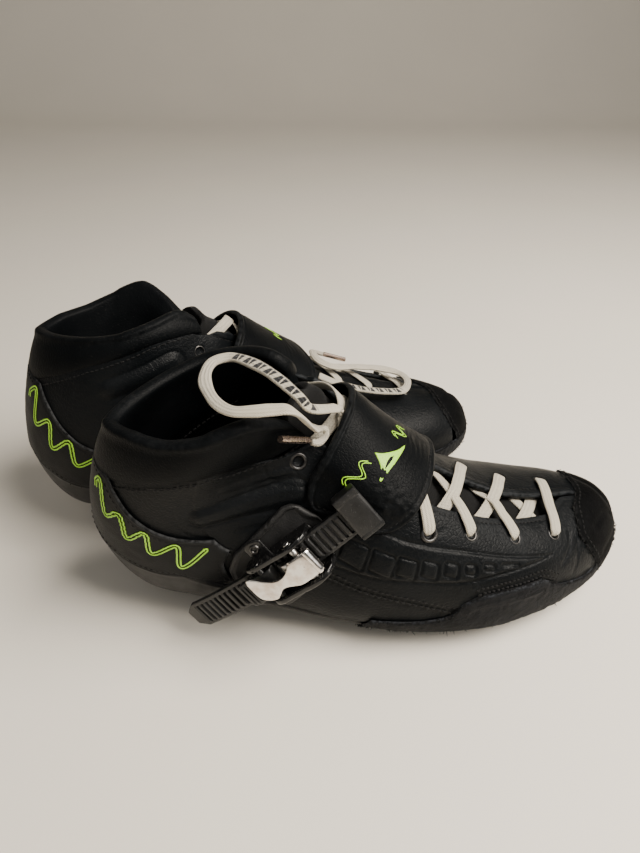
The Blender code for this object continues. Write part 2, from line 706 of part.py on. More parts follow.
def lever():
    """The chromed lever: a knuckle round the pin and a waisted blade above the ladder."""
    blade = ((-12, 8.8, 10.8, -6.2, 6.4), (-8.5, 4.9, 12.0, -6.2, 6.4),
             (-1.6, 4.9, 12.6, -6.2, 6.4), (-0.4, 10.0, 12.4, -6.2, 4.6),
             (3, 9.9, 12.2, -4.8, 2.2), (7.3, 9.6, 11.8, -3.4, 1.8),
             (10.5, 9.3, 11.2, -5.0, 2.6), (13.5, 9.0, 10.8, -6.8, 4.6),
             (17, 8.8, 10.4, -5.6, 8.0), (19, 8.8, 10.3, -4.0, 9.0),
             (20.4, 9.0, 10.2, -1.5, 7.6))
    made = arc_loft("lever", blade, chrome(), PIN_PLACE)
    cut(made, arc_rod("lever_bore", PIN_PLACE, PIN_RADIUS + 0.3, (-14, 14), chrome(), 14, CUTTERS))


def drive_pawl():
    """The tooth under the lever that pulls the ladder; drawn just clear of the teeth."""
    shape = ((0.1, 5.2, 7.2, -4.5, 4.5), (0.8, 4.6, 8.0, -4.5, 4.5), (3.5, 3.4, 7.4, -4.5, 4.5),
             (6.5, 2.7, 4.6, -4.5, 4.5))
    arc_loft("drive_pawl", shape, steel(), PAWL_PLACE)


def release_latch():
    """The sprung catch that holds the ladder, with its thumb tab and its own trunnions."""
    shape = ((8.5, 2.7, 4.2, -6.5, 6.5), (10.5, 3.2, 7.0, -6.5, 6.5),
             (13.5, 3.4, 7.4, -6.5, 6.5), (16.5, 3.6, 7.0, -6.5, 6.5),
             (24, 4.2, 6.2, -7.0, 7.0), (28, 5.0, 6.4, -6.0, 6.0))
    made = arc_loft("release_latch", shape, black_plastic(), LATCH_PLACE)
    rod = arc_rod("trunnions", LATCH_PLACE, PIN_RADIUS - 0.2, (-10.4, 10.4), black_plastic(), 12,
                  CUTTERS)
    cut(made, rod, "UNION")


def lever_spring():
    """A torsion spring coiled on the lever's pin, between the knuckle and a cheek."""
    turns, per_turn = 2.5, 8
    points = []
    for i in range(int(turns * per_turn) + 1):
        angle = 2 * math.pi * i / per_turn
        reach = PIN_RADIUS + 0.85
        points.append(on_arc(PIN_PLACE[0], PIN_PLACE[1], 0)
                      + (on_arc(PIN_PLACE[0], 1, 0) - on_arc(PIN_PLACE[0], 0, 0)) * reach * math.cos(angle)
                      + ALONG * MM * reach * math.sin(angle)
                      - ACROSS * MM * (6.8 + 0.6 * i / per_turn))
    tube("lever_spring", points, 0.22, steel(), 0)


def closure():
    instep_strap()
    strap_anchor()
    strap_keeper()
    ladder_strap()
    buckle_plate()
    buckle_housing()
    base_rivet()
    lever()
    arc_rod("lever_pin", PIN_PLACE, PIN_RADIUS, (-12.2, 12.2), steel())
    drive_pawl()
    release_latch()
    lever_spring()


# ---------------------------------------------------------------- the pair

def place_boot(name, place):
    frame = bpy.data.objects.new(name, None)
    frame.location = (place[0], place[1], 0.0)
    frame.rotation_euler.z = math.radians(place[2])
    PARTS.objects.link(frame)
    return frame


def mirrored(source, name):
    """The mirror image of an object, as a mesh with its origin mirrored too."""
    scene = bpy.context.evaluated_depsgraph_get()
    data = bpy.data.meshes.new_from_object(source.evaluated_get(scene))
    data.name = name
    bm = bmesh.new()
    bm.from_mesh(data)
    if source.type == "CURVE":
        bmesh.ops.remove_doubles(bm, verts=bm.verts, dist=1e-6)
    bmesh.ops.transform(bm, matrix=Matrix.Diagonal((1, -1, 1, 1)), verts=bm.verts)
    bmesh.ops.reverse_faces(bm, faces=bm.faces)
    bm.to_mesh(data)
    bm.free()
    made = bpy.data.objects.new(name, data)
    made.location = (source.location.x, -source.location.y, source.location.z)
    PARTS.objects.link(made)
    return made


def build_pair():
    sole()
    upper()
    lacing()
    closure()
    right = list(PARTS.objects)
    left_lace = lace_bow("bow_pattern", "aglet_pattern", left_bow())
    bpy.context.view_layer.update()
    left = [mirrored(obj, "left_" + obj.name) for obj in right]
    for pattern, name in zip(left_lace, ("left_lace_bow", "left_lace_aglet")):
        left.append(mirrored(pattern, name))
        bpy.data.objects.remove(pattern, do_unlink=True)
    for obj in right:
        obj.name = "right_" + obj.name
    right += lace_bow("right_lace_bow", "right_lace_aglet", right_bow())
    right += CUTTERS.objects
    for name, place, boot in (("right_boot", RIGHT_PLACE, right), ("left_boot", LEFT_PLACE, left)):
        frame = place_boot(name, place)
        for obj in boot:
            obj.parent = frame


build_pair()
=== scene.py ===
import math
import random

import bmesh
import bpy
import numpy as np
from mathutils import Matrix, Vector, kdtree, noise

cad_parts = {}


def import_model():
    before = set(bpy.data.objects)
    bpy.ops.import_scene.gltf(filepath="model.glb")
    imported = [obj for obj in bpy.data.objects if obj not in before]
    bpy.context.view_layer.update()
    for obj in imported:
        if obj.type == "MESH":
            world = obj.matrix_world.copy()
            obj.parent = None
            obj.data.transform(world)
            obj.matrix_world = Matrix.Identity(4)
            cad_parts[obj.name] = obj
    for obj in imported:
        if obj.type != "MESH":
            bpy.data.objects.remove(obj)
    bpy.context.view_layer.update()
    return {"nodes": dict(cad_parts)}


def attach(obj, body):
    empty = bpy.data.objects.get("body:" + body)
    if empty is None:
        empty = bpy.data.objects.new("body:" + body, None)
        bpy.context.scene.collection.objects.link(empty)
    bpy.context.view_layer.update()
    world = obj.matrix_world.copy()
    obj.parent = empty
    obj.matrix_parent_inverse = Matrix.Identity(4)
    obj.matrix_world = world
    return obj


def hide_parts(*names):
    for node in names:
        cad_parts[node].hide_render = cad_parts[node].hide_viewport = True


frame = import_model()
MM = 0.001
random.seed(7)

# ---------------------------------------------------------------- the boot's surface
# The same surface and placing as the CAD's. Each boot's frame is in millimetres: x forward
# from the heel's back, y towards the other boot, z up. t runs 0 toe to 13 collar, v runs
# 0 instep, -1 outer side, 1 inner side, 2 sole or back of the heel.

PLACES = {"right": (-0.1181, -0.0733, 8.3, 1), "left": (-0.1782, 0.0028, 16.1, -1)}
SECTIONS = np.array((
    (288.0, 34.0, 291.5, 25.0, 6.5, 0.8, 0.8, 0.45, 2.0, 2.0),
    (284.5, 41.5, 287.5, 16.5, 6.0, 14.0, 13.0, 0.42, 2.0, 2.2),
    (276.0, 48.0, 278.0, 12.0, 6.0, 26.0, 23.0, 0.40, 2.0, 2.6),
    (260.0, 53.0, 260.5, 9.5, 4.0, 37.5, 33.5, 0.38, 2.1, 3.2),
    (236.0, 58.0, 234.0, 7.5, 1.0, 46.5, 42.5, 0.36, 2.2, 3.6),
    (208.5, 66.5, 200.0, 6.2, -2.0, 51.0, 47.0, 0.34, 2.2, 3.8),
    (181.5, 79.5, 164.0, 6.0, -3.0, 50.0, 45.0, 0.34, 2.2, 3.6),
    (160.0, 94.0, 127.0, 8.0, -2.0, 46.0, 42.0, 0.35, 2.1, 3.0),
    (144.0, 107.0, 91.0, 10.0, 1.5, 40.0, 38.5, 0.38, 2.1, 2.6),
    (133.0, 117.5, 56.0, 10.0, 5.0, 35.5, 36.0, 0.41, 2.0, 2.2),
    (126.5, 125.5, 24.5, 18.0, 7.5, 33.5, 35.5, 0.43, 2.0, 2.0),
    (121.0, 130.0, 9.0, 49.0, 6.5, 33.0, 36.5, 0.46, 2.0, 1.9),
    (117.0, 134.5, 11.0, 84.0, 1.5, 33.5, 39.0, 0.50, 2.1, 1.7),
    (112.5, 139.5, 23.5, 123.0, -6.0, 32.0, 42.0, 0.53, 2.1, 1.45)))
LAST = len(SECTIONS) - 1


def section_at(t):
    """A section's ten numbers at t, on a smooth curve through SECTIONS."""
    t = np.clip(np.asarray(t, float), 0, LAST)
    i = np.minimum(t.astype(int), LAST - 1)
    u = (t - i)[..., None]
    here, after = SECTIONS[i], SECTIONS[i + 1]
    before = np.where((i > 0)[..., None], SECTIONS[np.maximum(i - 1, 0)], 2 * here - after)
    beyond = np.where((i + 2 <= LAST)[..., None], SECTIONS[np.minimum(i + 2, LAST)],
                      2 * after - here)
    return 0.5 * (2 * here + (after - before) * u
                  + (2 * before - 5 * here + 4 * after - beyond) * u**2
                  + (3 * here - before - 3 * after + beyond) * u**3)


def outline(t, v):
    """Points of the section at t; v goes round it, 0 on top, 2 under or behind."""
    v = (np.asarray(v, float) + 2) % 4 - 2
    top_x, top_z, low_x, low_z, middle, outer, inner, share, above, below = np.moveaxis(
        section_at(t), -1, 0)
    rise = np.hypot(top_x - low_x, top_z - low_z)
    up_x, up_z = (top_x - low_x) / rise, (top_z - low_z) / rise
    angle = np.abs(v) * math.pi / 2
    upper = np.abs(v) <= 1
    power = 2 / np.where(upper, above, below)
    along = np.abs(np.cos(angle))**power * np.where(upper, (1 - share) * rise, -share * rise)
    side = np.abs(np.sin(angle))**power * np.where(v < 0, outer, inner) * np.sign(v)
    reach = share * rise + along
    return np.stack([low_x + up_x * reach, middle + side, low_z + up_z * reach], -1)


def unit(a):
    """Vectors scaled to length 1."""
    return a / np.maximum(np.linalg.norm(a, axis=-1, keepdims=True), 1e-9)


def heading(route):
    """The direction of travel at each point of a route."""
    return unit(np.gradient(route, axis=0))


def normal(t, v):
    """The outward direction of the surface."""
    t, v = np.broadcast_arrays(np.asarray(t, float), np.asarray(v, float))
    along = outline(np.clip(t + 0.04, 0, LAST), v) - outline(np.clip(t - 0.04, 0, LAST), v)
    return unit(np.cross(outline(t, v + 0.03) - outline(t, v - 0.03), along))


def surface(t, v, lift=0.0):
    """Points lifted off the outer surface. Past the rim the surface runs straight on."""
    t, v = np.broadcast_arrays(np.asarray(t, float), np.asarray(v, float))
    past = np.maximum(t - LAST, 0)[..., None]
    slope = (outline(np.full_like(t, LAST), v) - outline(np.full_like(t, LAST - 0.1), v)) * 10
    return outline(t, v) + slope * past + normal(t, v) * np.asarray(lift, float)[..., None]


def line(pairs, t):
    """A broken line through (t, value) pairs, read at t."""
    return np.interp(t, [p[0] for p in pairs], [p[1] for p in pairs])


# Lines on the surface, as (t, v) pairs; v from t, or for the collar t from v.
SOLE_LINE = ((0, 1.96), (0.45, 1.96), (0.9, 1.6), (1.5, 1.45), (7, 1.45), (8, 1.38),
             (9.2, 1.27), (9.9, 1.28), (10.6, 1.53), (11.3, 1.80), (12, 1.975), (13, 1.975))
THROAT_OUTER = ((2.9, -0.11), (3.45, -0.11), (3.65, -0.15), (3.95, -0.25), (6.4, -0.34),
                (9.9, -0.42), (11, -0.46), (12, -0.56), (13, -0.72))
THROAT_INNER = ((2.9, -0.09), (4.85, -0.09), (5.5, -0.05), (7.8, 0.08), (9.9, 0.20),
                (11.4, 0.24), (12.3, 0.31), (13, 0.44))
COLLAR_SEAM = ((-2, 12.3), (-1.68, 12.3), (-1.5, 12.25), (-1.3, 12.15), (-1.13, 12.0),
               (-0.92, 11.75), (-0.72, 11.1), (-0.6, 10.6), (-0.4, 10.0), (0, 10.5),
               (0.3, 10.9), (0.42, 11.6), (0.52, 12.0), (0.66, 12.35), (0.79, 12.5),
               (1.03, 12.57), (1.28, 12.57), (1.65, 12.45), (2, 12.3))
COLLAR_RIM = ((-2, 13), (-1.6, 12.95), (-1.35, 12.83), (-1.1, 12.8), (-0.86, 12.85),
              (-0.76, 12.8), (-0.66, 12.5), (-0.56, 11.95), (-0.48, 11.2), (-0.44, 10.6),
              (-0.4, 10.4), (0.3, 11.6), (0.36, 12.2), (0.42, 12.7), (0.5, 12.93), (0.6, 13),
              (2, 13))
TOE_SEAM = ((-2, 1.6), (-1.45, 2.2), (-0.95, 2.85), (-0.85, 2.94), (-0.52, 3.38),
            (-0.25, 3.27), (-0.08, 2.9), (0.28, 2.85), (0.65, 2.55), (0.83, 2.29),
            (1.45, 2.1), (2, 1.6))
EYELETS_OUTER = ((3.98, -0.43), (4.83, -0.43), (5.68, -0.45), (6.47, -0.53), (7.35, -0.47),
                 (8.5, -0.48), (9.85, -0.55))
EYELETS_INNER = ((3.72, 0.07), (4.62, 0.08), (5.40, 0.13), (6.3, 0.17), (7.25, 0.23),
                 (8.5, 0.32), (10.6, 0.44))

# The ladder strap's arc: s along it towards the tail, n outwards, w across.
ARC_RADIUS = 180.0
SLOPE, LEAN = math.radians(39.0), math.radians(16.0)
ALONG = Vector((-math.cos(SLOPE), 0.0, -math.sin(SLOPE)))
OUTWARD = (Vector((0.0, -1.0, 0.0)) * math.cos(LEAN)
           + Vector((-math.sin(SLOPE), 0.0, math.cos(SLOPE))) * math.sin(LEAN))
ACROSS = np.array(ALONG.cross(OUTWARD))
ALONG, OUTWARD = np.array(ALONG), np.array(OUTWARD)
ARC_CENTRE = np.array((102.7, -41.8, 64.4)) - OUTWARD * ARC_RADIUS


def arc(s, n, w):
    """Points on the ladder's arc, in millimetres."""
    s, n, w = np.broadcast_arrays(*(np.asarray(a, float)[..., None] for a in (s, n, w)))
    angle = s / ARC_RADIUS
    radial = OUTWARD * np.cos(angle) + ALONG * np.sin(angle)
    return ARC_CENTRE + radial * (ARC_RADIUS + n) + ACROSS * w


# ---------------------------------------------------------------- making pieces

def world(side, points):
    """Millimetres on the right boot as metres in the scene, on either boot."""
    x, y, turn, mirror = PLACES[side]
    c, s = math.cos(math.radians(turn)), math.sin(math.radians(turn))
    p = np.asarray(points, float).reshape(-1, 3) * MM * (1, mirror, 1)
    return p @ np.array(((c, s, 0), (-s, c, 0), (0, 0, 1))) + (x, y, 0)


def piece(name, points, faces, finish, body="", nodes=(), slot=None, uv=None, masks=None,
          sides=("right", "left"), levels=0, padded=None, sharp=None):
    """The same mesh on both boots, each riding on its own boot's body."""
    made = {}
    faces = [list(f) for f in faces]
    for side in sides:
        order = faces if side == "right" else [f[::-1] for f in faces]
        data = bpy.data.meshes.new(f"{side}_{name}")
        data.from_pydata(world(side, points).tolist(), [], order)
        if uv is not None:
            layer = data.uv_layers.new(name="lay")
            corner = np.empty(len(data.loops), np.int32)
            data.loops.foreach_get("vertex_index", corner)
            layer.data.foreach_set("uv", np.asarray(uv, np.float32)[corner].ravel())
        for key, values in (masks or {}).items():
            data.attributes.new(key, "FLOAT", "POINT").data.foreach_set(
                "value", np.asarray(values, np.float32).ravel())
        data.validate()
        data.shade_smooth()
        if sharp:
            data.set_sharp_from_angle(angle=math.radians(sharp))
        data.materials.append(finish)
        obj = bpy.data.objects.new(f"{side}_{name}_look", data)
        bpy.context.scene.collection.objects.link(obj)
        if levels:
            fine = obj.modifiers.new("fine", "SUBSURF")
            fine.levels = fine.render_levels = levels
        home = {"right": "root", "left": "left_boot"}[side] if not body else f"{side}_{body}"
        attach(obj, home)
        if nodes:
            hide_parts(*(f"{side}_{n}" for n in nodes))
        made[side] = obj
    return made


def lattice(rows, columns, ring=False, offset=0, flip=False):
    """Quads of a grid whose points run row by row."""
    i, j = np.meshgrid(np.arange(rows - 1), np.arange(columns if ring else columns - 1),
                       indexing="ij")
    k = (j + 1) % columns
    quads = np.stack([i * columns + j, i * columns + k, (i + 1) * columns + k,
                      (i + 1) * columns + j], -1).reshape(-1, 4) + offset
    return quads[:, ::-1] if flip else quads


def shell(top, bottom, ring=False):
    """A closed sheet between two grids of points."""
    rows, columns = top.shape[:2]
    count = rows * columns
    faces = [lattice(rows, columns, ring), lattice(rows, columns, ring, count, True)]
    index = np.arange(count).reshape(rows, columns)
    rim = []
    if ring:
        for edge in (np.append(index[0], index[0, 0])[::-1],
                     np.append(index[-1], index[-1, 0])):
            rim.append(edge)
    else:
        rim.append(np.concatenate([index[0, ::-1], index[1:, 0], index[-1, 1:],
                                   index[-2::-1, -1]]))
    for edge in rim:
        a, b = edge[:-1], edge[1:]
        faces.append(np.stack([a, b, b + count, a + count], -1))
    return np.vstack([top.reshape(-1, 3), bottom.reshape(-1, 3)]), np.vstack(faces)


def fan(rows, start, end, share, turned=False):
    """A grid whose rows run from start to end: each point's row value and place on it."""
    places = start[:, None] * (1 - share) + end[:, None] * share
    values = np.repeat(np.asarray(rows, float)[:, None], len(share), 1)
    return (values.T, places.T) if turned else (values, places)


def panel(name, t, v, lift, under, finish, slot, nodes=None, worn_and_highlit=None, shaped=None,
          flip=False, **more):
    """A closed sheet over the boot between two lifts, worn on its outer side."""
    sides = surface(t, v, lift), surface(t, v, under)
    for side in sides if shaped else ():
        shaped(side)
    points, faces = shell(*sides)
    masks = None
    if worn_and_highlit is not None:
        wear_and_highlight = np.zeros(len(points))
        wear_and_highlight[:t.size] = np.broadcast_to(worn_and_highlit, t.shape).ravel()
        masks = {"wear_and_highlight": wear_and_highlight}
    piece(name, points, faces[:, ::-1] if flip else faces, finish, slot=slot, masks=masks,
          nodes=(name,) if nodes is None else nodes, **more)


def lengths(points, axis):
    """The distance run along a grid's rows (axis 0) or columns (axis 1)."""
    step = np.linalg.norm(np.diff(points, axis=axis), axis=-1)
    pad = np.zeros_like(np.take(step, [0], axis))
    return np.concatenate([pad, np.cumsum(step, axis)], axis)


def from_border(points, ends=(1, 1, 1, 1)):
    """Each grid point's distance from the border: start and end of rows, of columns."""
    down, across = lengths(points, 0), lengths(points, 1)
    away = [down, down[-1:] - down, across, across[:, -1:] - across]
    return np.min([a if keep else np.full_like(a, 99.0) for a, keep in zip(away, ends)], 0)


def rounding(distance, radius):
    """How far a rounded edge drops at a distance from the border."""
    d = np.clip(1 - distance / radius, 0, 1)
    return radius * (1 - np.sqrt(1 - d**2))


def from_box(x, y, half_x, half_y, corner):
    """Signed distance from a rounded box round the origin, negative inside."""
    qx, qy = np.abs(x) - half_x + corner, np.abs(y) - half_y + corner
    return (np.hypot(np.maximum(qx, 0), np.maximum(qy, 0))
            + np.minimum(np.maximum(qx, qy), 0) - corner)


def reach_along(route):
    """The distance run along a route, at each of its points."""
    return np.r_[0, np.cumsum(np.linalg.norm(np.diff(route, axis=0), axis=1))]


def dense(route, step=0.4):
    """Points every step along a polyline."""
    route = np.asarray(route, float)
    reach = reach_along(route)
    places = np.linspace(0, reach[-1], max(2, round(reach[-1] / step) + 1))
    return np.stack([np.interp(places, reach, route[:, k]) for k in range(route.shape[1])], -1)


def curve(points, count=12):
    """A smooth curve through points of any width."""
    points = np.asarray(points, float)
    last = len(points) - 1
    fine = []
    for i in range(last):
        a, b, c, d = (points[max(i - 1, 0)], points[i], points[i + 1],
                      points[min(i + 2, last)])
        for u in np.linspace(0, 1, count, endpoint=False):
            fine.append(0.5 * (2 * b + (c - a) * u + (2 * a - 5 * b + 4 * c - d) * u**2
                               + (3 * b - a - 3 * c + d) * u**3))
    return np.array(fine + [points[last]])


def on_boot(places, lift=0.0, step=0.5):
    """A smooth route on the surface through (t, v) places, with its normals."""
    places = curve(places)
    points = dense(np.hstack([surface(places[:, 0], places[:, 1]), places]), step)
    t, v = points[:, 3], points[:, 4]
    return surface(t, v, lift), normal(t, v), t, v


def apart(points, route):
    """Distance from each point to a route of close points."""
    tree = kdtree.KDTree(len(route))
    for i, p in enumerate(route):
        tree.insert(p, i)
    tree.balance()
    low, high = route.min(0) - 8, route.max(0) + 8
    flat = points.reshape(-1, 3)
    near = np.all((flat > low) & (flat < high), 1)
    away = np.full(len(flat), 99.0)
    away[near] = [tree.find(p)[2] for p in flat[near]]
    return away.reshape(points.shape[:-1])


def groove(points, route, width, depth):
    """The lift of a pressed line along a route."""
    return -depth * np.exp(-(apart(points, route) / width)**2)


def inside(t, v, loop):
    """Which (t, v) points lie inside a closed loop."""
    loop = np.asarray(loop, float)
    found = np.zeros(t.shape, bool)
    for (ta, va), (tb, vb) in zip(loop, np.roll(loop, -1, 0)):
        if va != vb:
            hit = ((va > v) != (vb > v)) & (t < (tb - ta) * (v - va) / (vb - va) + ta)
            found ^= hit
    return found


def ripple(points, scale, seed=0.0):
    """Smooth noise over points, about -1 to 1."""
    flat = points.reshape(-1, 3) / scale + seed
    return np.array([noise.noise(p) for p in flat.tolist()]).reshape(points.shape[:-1]) * 1.6


def smoothstep(a, b, x):
    """An even rise from 0 at a to 1 at b."""
    u = np.clip((x - a) / (b - a), 0, 1)
    return u * u * (3 - 2 * u)


def tube(rings):
    """Rings of points joined into a tube with flat ends."""
    rows, count = rings.shape[:2]
    faces = [list(f) for f in lattice(rows, count, True)]
    faces += [list(range(count))[::-1], list(range((rows - 1) * count, rows * count))]
    return rings.reshape(-1, 3), faces


def section_ring(width, thick, count=12):
    """The outline of a flat cord: (across, up) pairs."""
    angle = np.linspace(0, 2 * math.pi, count, endpoint=False)
    c, s = np.cos(angle), np.sin(angle)
    return np.stack([np.sign(c) * np.abs(c)**0.75 * width / 2,
                     np.sign(s) * np.abs(s)**0.75 * thick / 2], -1)


def ribbon(route, up, width, thick, count=12):
    """A cord of constant section along a route; gives points, faces and (along, round) uv."""
    route, up = np.asarray(route, float), np.asarray(up, float)
    along = heading(route)
    side = unit(np.cross(along, up))
    up = np.cross(side, along)
    ring = section_ring(1, 1, count)
    width = np.broadcast_to(width, len(route))[:, None, None]
    thick = np.broadcast_to(thick, len(route))[:, None, None]
    points, faces = tube(route[:, None] + side[:, None] * ring[None, :, :1] * width
                         + up[:, None] * ring[None, :, 1:] * thick)
    uv = np.stack(np.broadcast_arrays(reach_along(route)[:, None], ring[None, :, 0] * 2
                                      + 4 * (ring[None, :, 1] < -0.2)), -1)
    return points, faces, uv.reshape(-1, 2)


def joined(parts):
    """Several (points, faces[, uv]) as one."""
    points, faces, uvs, base = [], [], [], 0
    for part in parts:
        points.append(part[0])
        faces += [[base + k for k in f] for f in part[1]]
        if len(part) > 2:
            uvs.append(part[2])
        base += len(part[0])
    return np.vstack(points), faces, (np.vstack(uvs) if uvs else None)


# ---------------------------------------------------------------- materials

class Finish:
    """A node material: short calls that add nodes and link them."""

    def __init__(self, name, roughness=0.5, metallic=0.0, **sockets):
        self.material = bpy.data.materials.new(name)
        self.material.use_nodes = True
        self.tree = self.material.node_tree
        self.shader = self.tree.nodes["Principled BSDF"]
        self.shader.inputs["Roughness"].default_value = roughness
        self.shader.inputs["Metallic"].default_value = metallic
        for key, value in sockets.items():
            self.shader.inputs[key.replace("_", " ")].default_value = value
        coordinates = self.tree.nodes.new("ShaderNodeTexCoord")
        self.place, self.lay = coordinates.outputs["Object"], coordinates.outputs["UV"]

    def add(self, kind, inputs, out=0, **settings):
        """A node with its inputs set or linked; gives one of its outputs."""
        made = self.tree.nodes.new("ShaderNode" + kind)
        for key, value in settings.items():
            setattr(made, key, value)
        for key, value in inputs.items():
            if isinstance(value, bpy.types.NodeSocket):
                self.tree.links.new(value, made.inputs[key])
            else:
                made.inputs[key].default_value = value
        return made.outputs[out]

    def sum(self, kind, a, b=0.5, c=0.5, clamp=False):
        """A Math node."""
        return self.add("Math", {0: a, 1: b, 2: c}, operation=kind, use_clamp=clamp)

    def noise(self, scale, detail=2.0, where=None, rough=0.5):
        return self.add("TexNoise", {"Vector": where or self.place, "Scale": scale,
                                     "Detail": detail, "Roughness": rough})

    def cells(self, scale, feature):
        return self.add("TexVoronoi", {"Vector": self.place, "Scale": scale}, feature=feature)

    def span(self, value, low, high, start=0.0, end=1.0):
        """A value mapped from low and high to start and end."""
        return self.add("MapRange", {0: value, 1: low, 2: high, 3: start, 4: end})

    def blend(self, share, a, b):
        """A mix of two colours by share."""
        made = self.tree.nodes.new("ShaderNodeMix")
        made.data_type = "RGBA"
        for socket, value in ((made.inputs[0], share), (made.inputs[6], a),
                              (made.inputs[7], b)):
            if isinstance(value, bpy.types.NodeSocket):
                self.tree.links.new(value, socket)
            else:
                socket.default_value = value if isinstance(value, float) else (*value, 1.0)
        return made.outputs[2]

    def mask(self, name):
        """A value kept on the mesh at each point."""
        return self.add("Attribute", {}, out=2, attribute_name=name)

    def split(self):
        """The x, y and z of the lay."""
        made = self.tree.nodes.new("ShaderNodeSeparateXYZ")
        self.tree.links.new(self.lay, made.inputs[0])
        return made.outputs

    def weave(self, pitch):
        """Height of a plain weave whose threads are pitch apart, in the lay's metres."""
        x, y, _ = self.split()
        waves = [self.sum("SINE", self.sum("MULTIPLY", value, math.pi / pitch))
                 for value in (x, y)]
        return self.sum("ABSOLUTE", self.sum("MULTIPLY", *waves))

    def colour(self, socket):
        self.tree.links.new(socket, self.shader.inputs["Base Color"])

    def rough(self, socket):
        self.tree.links.new(socket, self.shader.inputs["Roughness"])

    def bump(self, *layers):
        """Layers of (height, strength, depth in millimetres)."""
        before = None
        for height, strength, depth in layers:
            inputs = {"Height": height, "Strength": strength, "Distance": depth * MM}
            if before is not None:
                inputs["Normal"] = before
            before = self.add("Bump", inputs)
        self.tree.links.new(before, self.shader.inputs["Normal"])
        return self.material


def leather(name, dark, light, roughness, grain=950.0, depth=0.16, dust=0.0, shine=0.22):
    """Pebbled leather with fine veins; lighter where the mask says, which is wear on most pieces
    and a painted highlight on the collar's roll; and dust.
    """
    f = Finish(name, roughness, Specular_IOR_Level=shine)
    pebble = f.cells(grain, "SMOOTH_F1")
    veins = f.span(f.cells(grain * 0.45, "DISTANCE_TO_EDGE"), 0.0, 0.12)
    broad, fine = f.noise(38.0, 4.0), f.noise(grain * 2.2, 2.0)
    shade = f.blend(f.span(broad, 0.35, 0.7), dark, light)
    # The mask lightens real wear, and on the collar's roll it paints a highlight.
    worn_and_highlit = f.sum("MULTIPLY", f.mask("wear_and_highlight"), f.span(f.noise(420.0, 3.0), 0.38, 0.62), clamp=True)
    shade = f.blend(worn_and_highlit, shade, tuple(c * 3.0 + 0.012 for c in light))
    if dust:
        specks = f.span(f.noise(700.0, 2.0, rough=0.7), 0.66, 0.74, 0.0, dust)
        shade = f.blend(specks, shade, (0.20, 0.19, 0.17))
    f.colour(shade)
    f.rough(f.sum("ADD", f.span(broad, 0.3, 0.75, roughness - 0.07, roughness + 0.09),
                  f.sum("MULTIPLY", worn_and_highlit, 0.25)))
    return f.bump((pebble, 0.4, depth), (veins, 0.35, depth * 0.8), (fine, 0.22, depth * 0.5),
                  (f.noise(110.0, 2.0), 0.10, 0.2))


def suede(name, dark, light):
    """Matt split leather with a rough nap and rubbed patches."""
    f = Finish(name, 0.92, Sheen_Weight=0.04, Sheen_Roughness=0.5, Specular_IOR_Level=0.08)
    nap, patch = f.noise(1900.0, 5.0, rough=0.75), f.noise(85.0, 5.0, rough=0.65)
    shade = f.blend(f.span(nap, 0.3, 0.75), dark, light)
    shade = f.blend(f.sum("MULTIPLY", f.span(patch, 0.52, 0.72), 0.4), shade,
                    tuple(c * 2.2 for c in light))
    worn_and_highlit = f.sum("MULTIPLY", f.mask("wear_and_highlight"), f.span(f.noise(900.0, 4.0), 0.42, 0.6), clamp=True)
    f.colour(f.blend(worn_and_highlit, shade, (0.036, 0.039, 0.045)))
    f.rough(f.span(patch, 0.35, 0.7, 0.74, 0.96))
    return f.bump((nap, 0.9, 0.45), (f.cells(650.0, "SMOOTH_F1"), 0.6, 0.4),
                  (patch, 0.5, 0.6))


def cloth(name, dark, light, pitch=0.0009):
    """Woven cloth with lint."""
    f = Finish(name, 0.9, Sheen_Weight=0.05, Sheen_Roughness=0.5, Specular_IOR_Level=0.15)
    threads, fuzz = f.weave(pitch), f.noise(1500.0, 3.0)
    shade = f.blend(threads, dark, light)
    lint = f.span(f.noise(330.0, 6.0, rough=0.8), 0.69, 0.76, 0.0, 0.55)
    f.colour(f.blend(lint, shade, (0.16, 0.16, 0.15)))
    f.rough(f.span(fuzz, 0.3, 0.7, 0.8, 0.98))
    return f.bump((threads, 0.7, 0.35), (fuzz, 0.4, 0.2), (f.noise(90.0, 3.0), 0.4, 0.5))


def plastic(name, dark, light, roughness, scuff=0.25, grain=0.0):
    """Moulded plastic or rubber with patches and scratches."""
    f = Finish(name, roughness, Specular_IOR_Level=0.42)
    patches, dots = f.noise(140.0, 4.0), f.cells(1500.0, "SMOOTH_F1")
    stretched = f.add("Mapping", {"Vector": f.place, "Rotation": (0.4, 0.7, 0.9),
                                  "Scale": (2400.0, 160.0, 900.0)})
    scratches = f.span(f.noise(1.0, 3.0, stretched, 0.6), 0.63, 0.7, 0.0, scuff)
    shade = f.blend(f.span(patches, 0.35, 0.7), dark, light)
    f.colour(f.blend(scratches, shade, (0.16, 0.16, 0.16)))
    f.rough(f.sum("ADD", f.span(patches, 0.3, 0.75, roughness - 0.05, roughness + 0.12),
                  f.sum("MULTIPLY", scratches, 0.4)))
    return f.bump((dots, 0.25 + grain, 0.08 + 0.2 * grain), (scratches, 0.35, 0.06),
                  (patches, 0.15, 0.25))


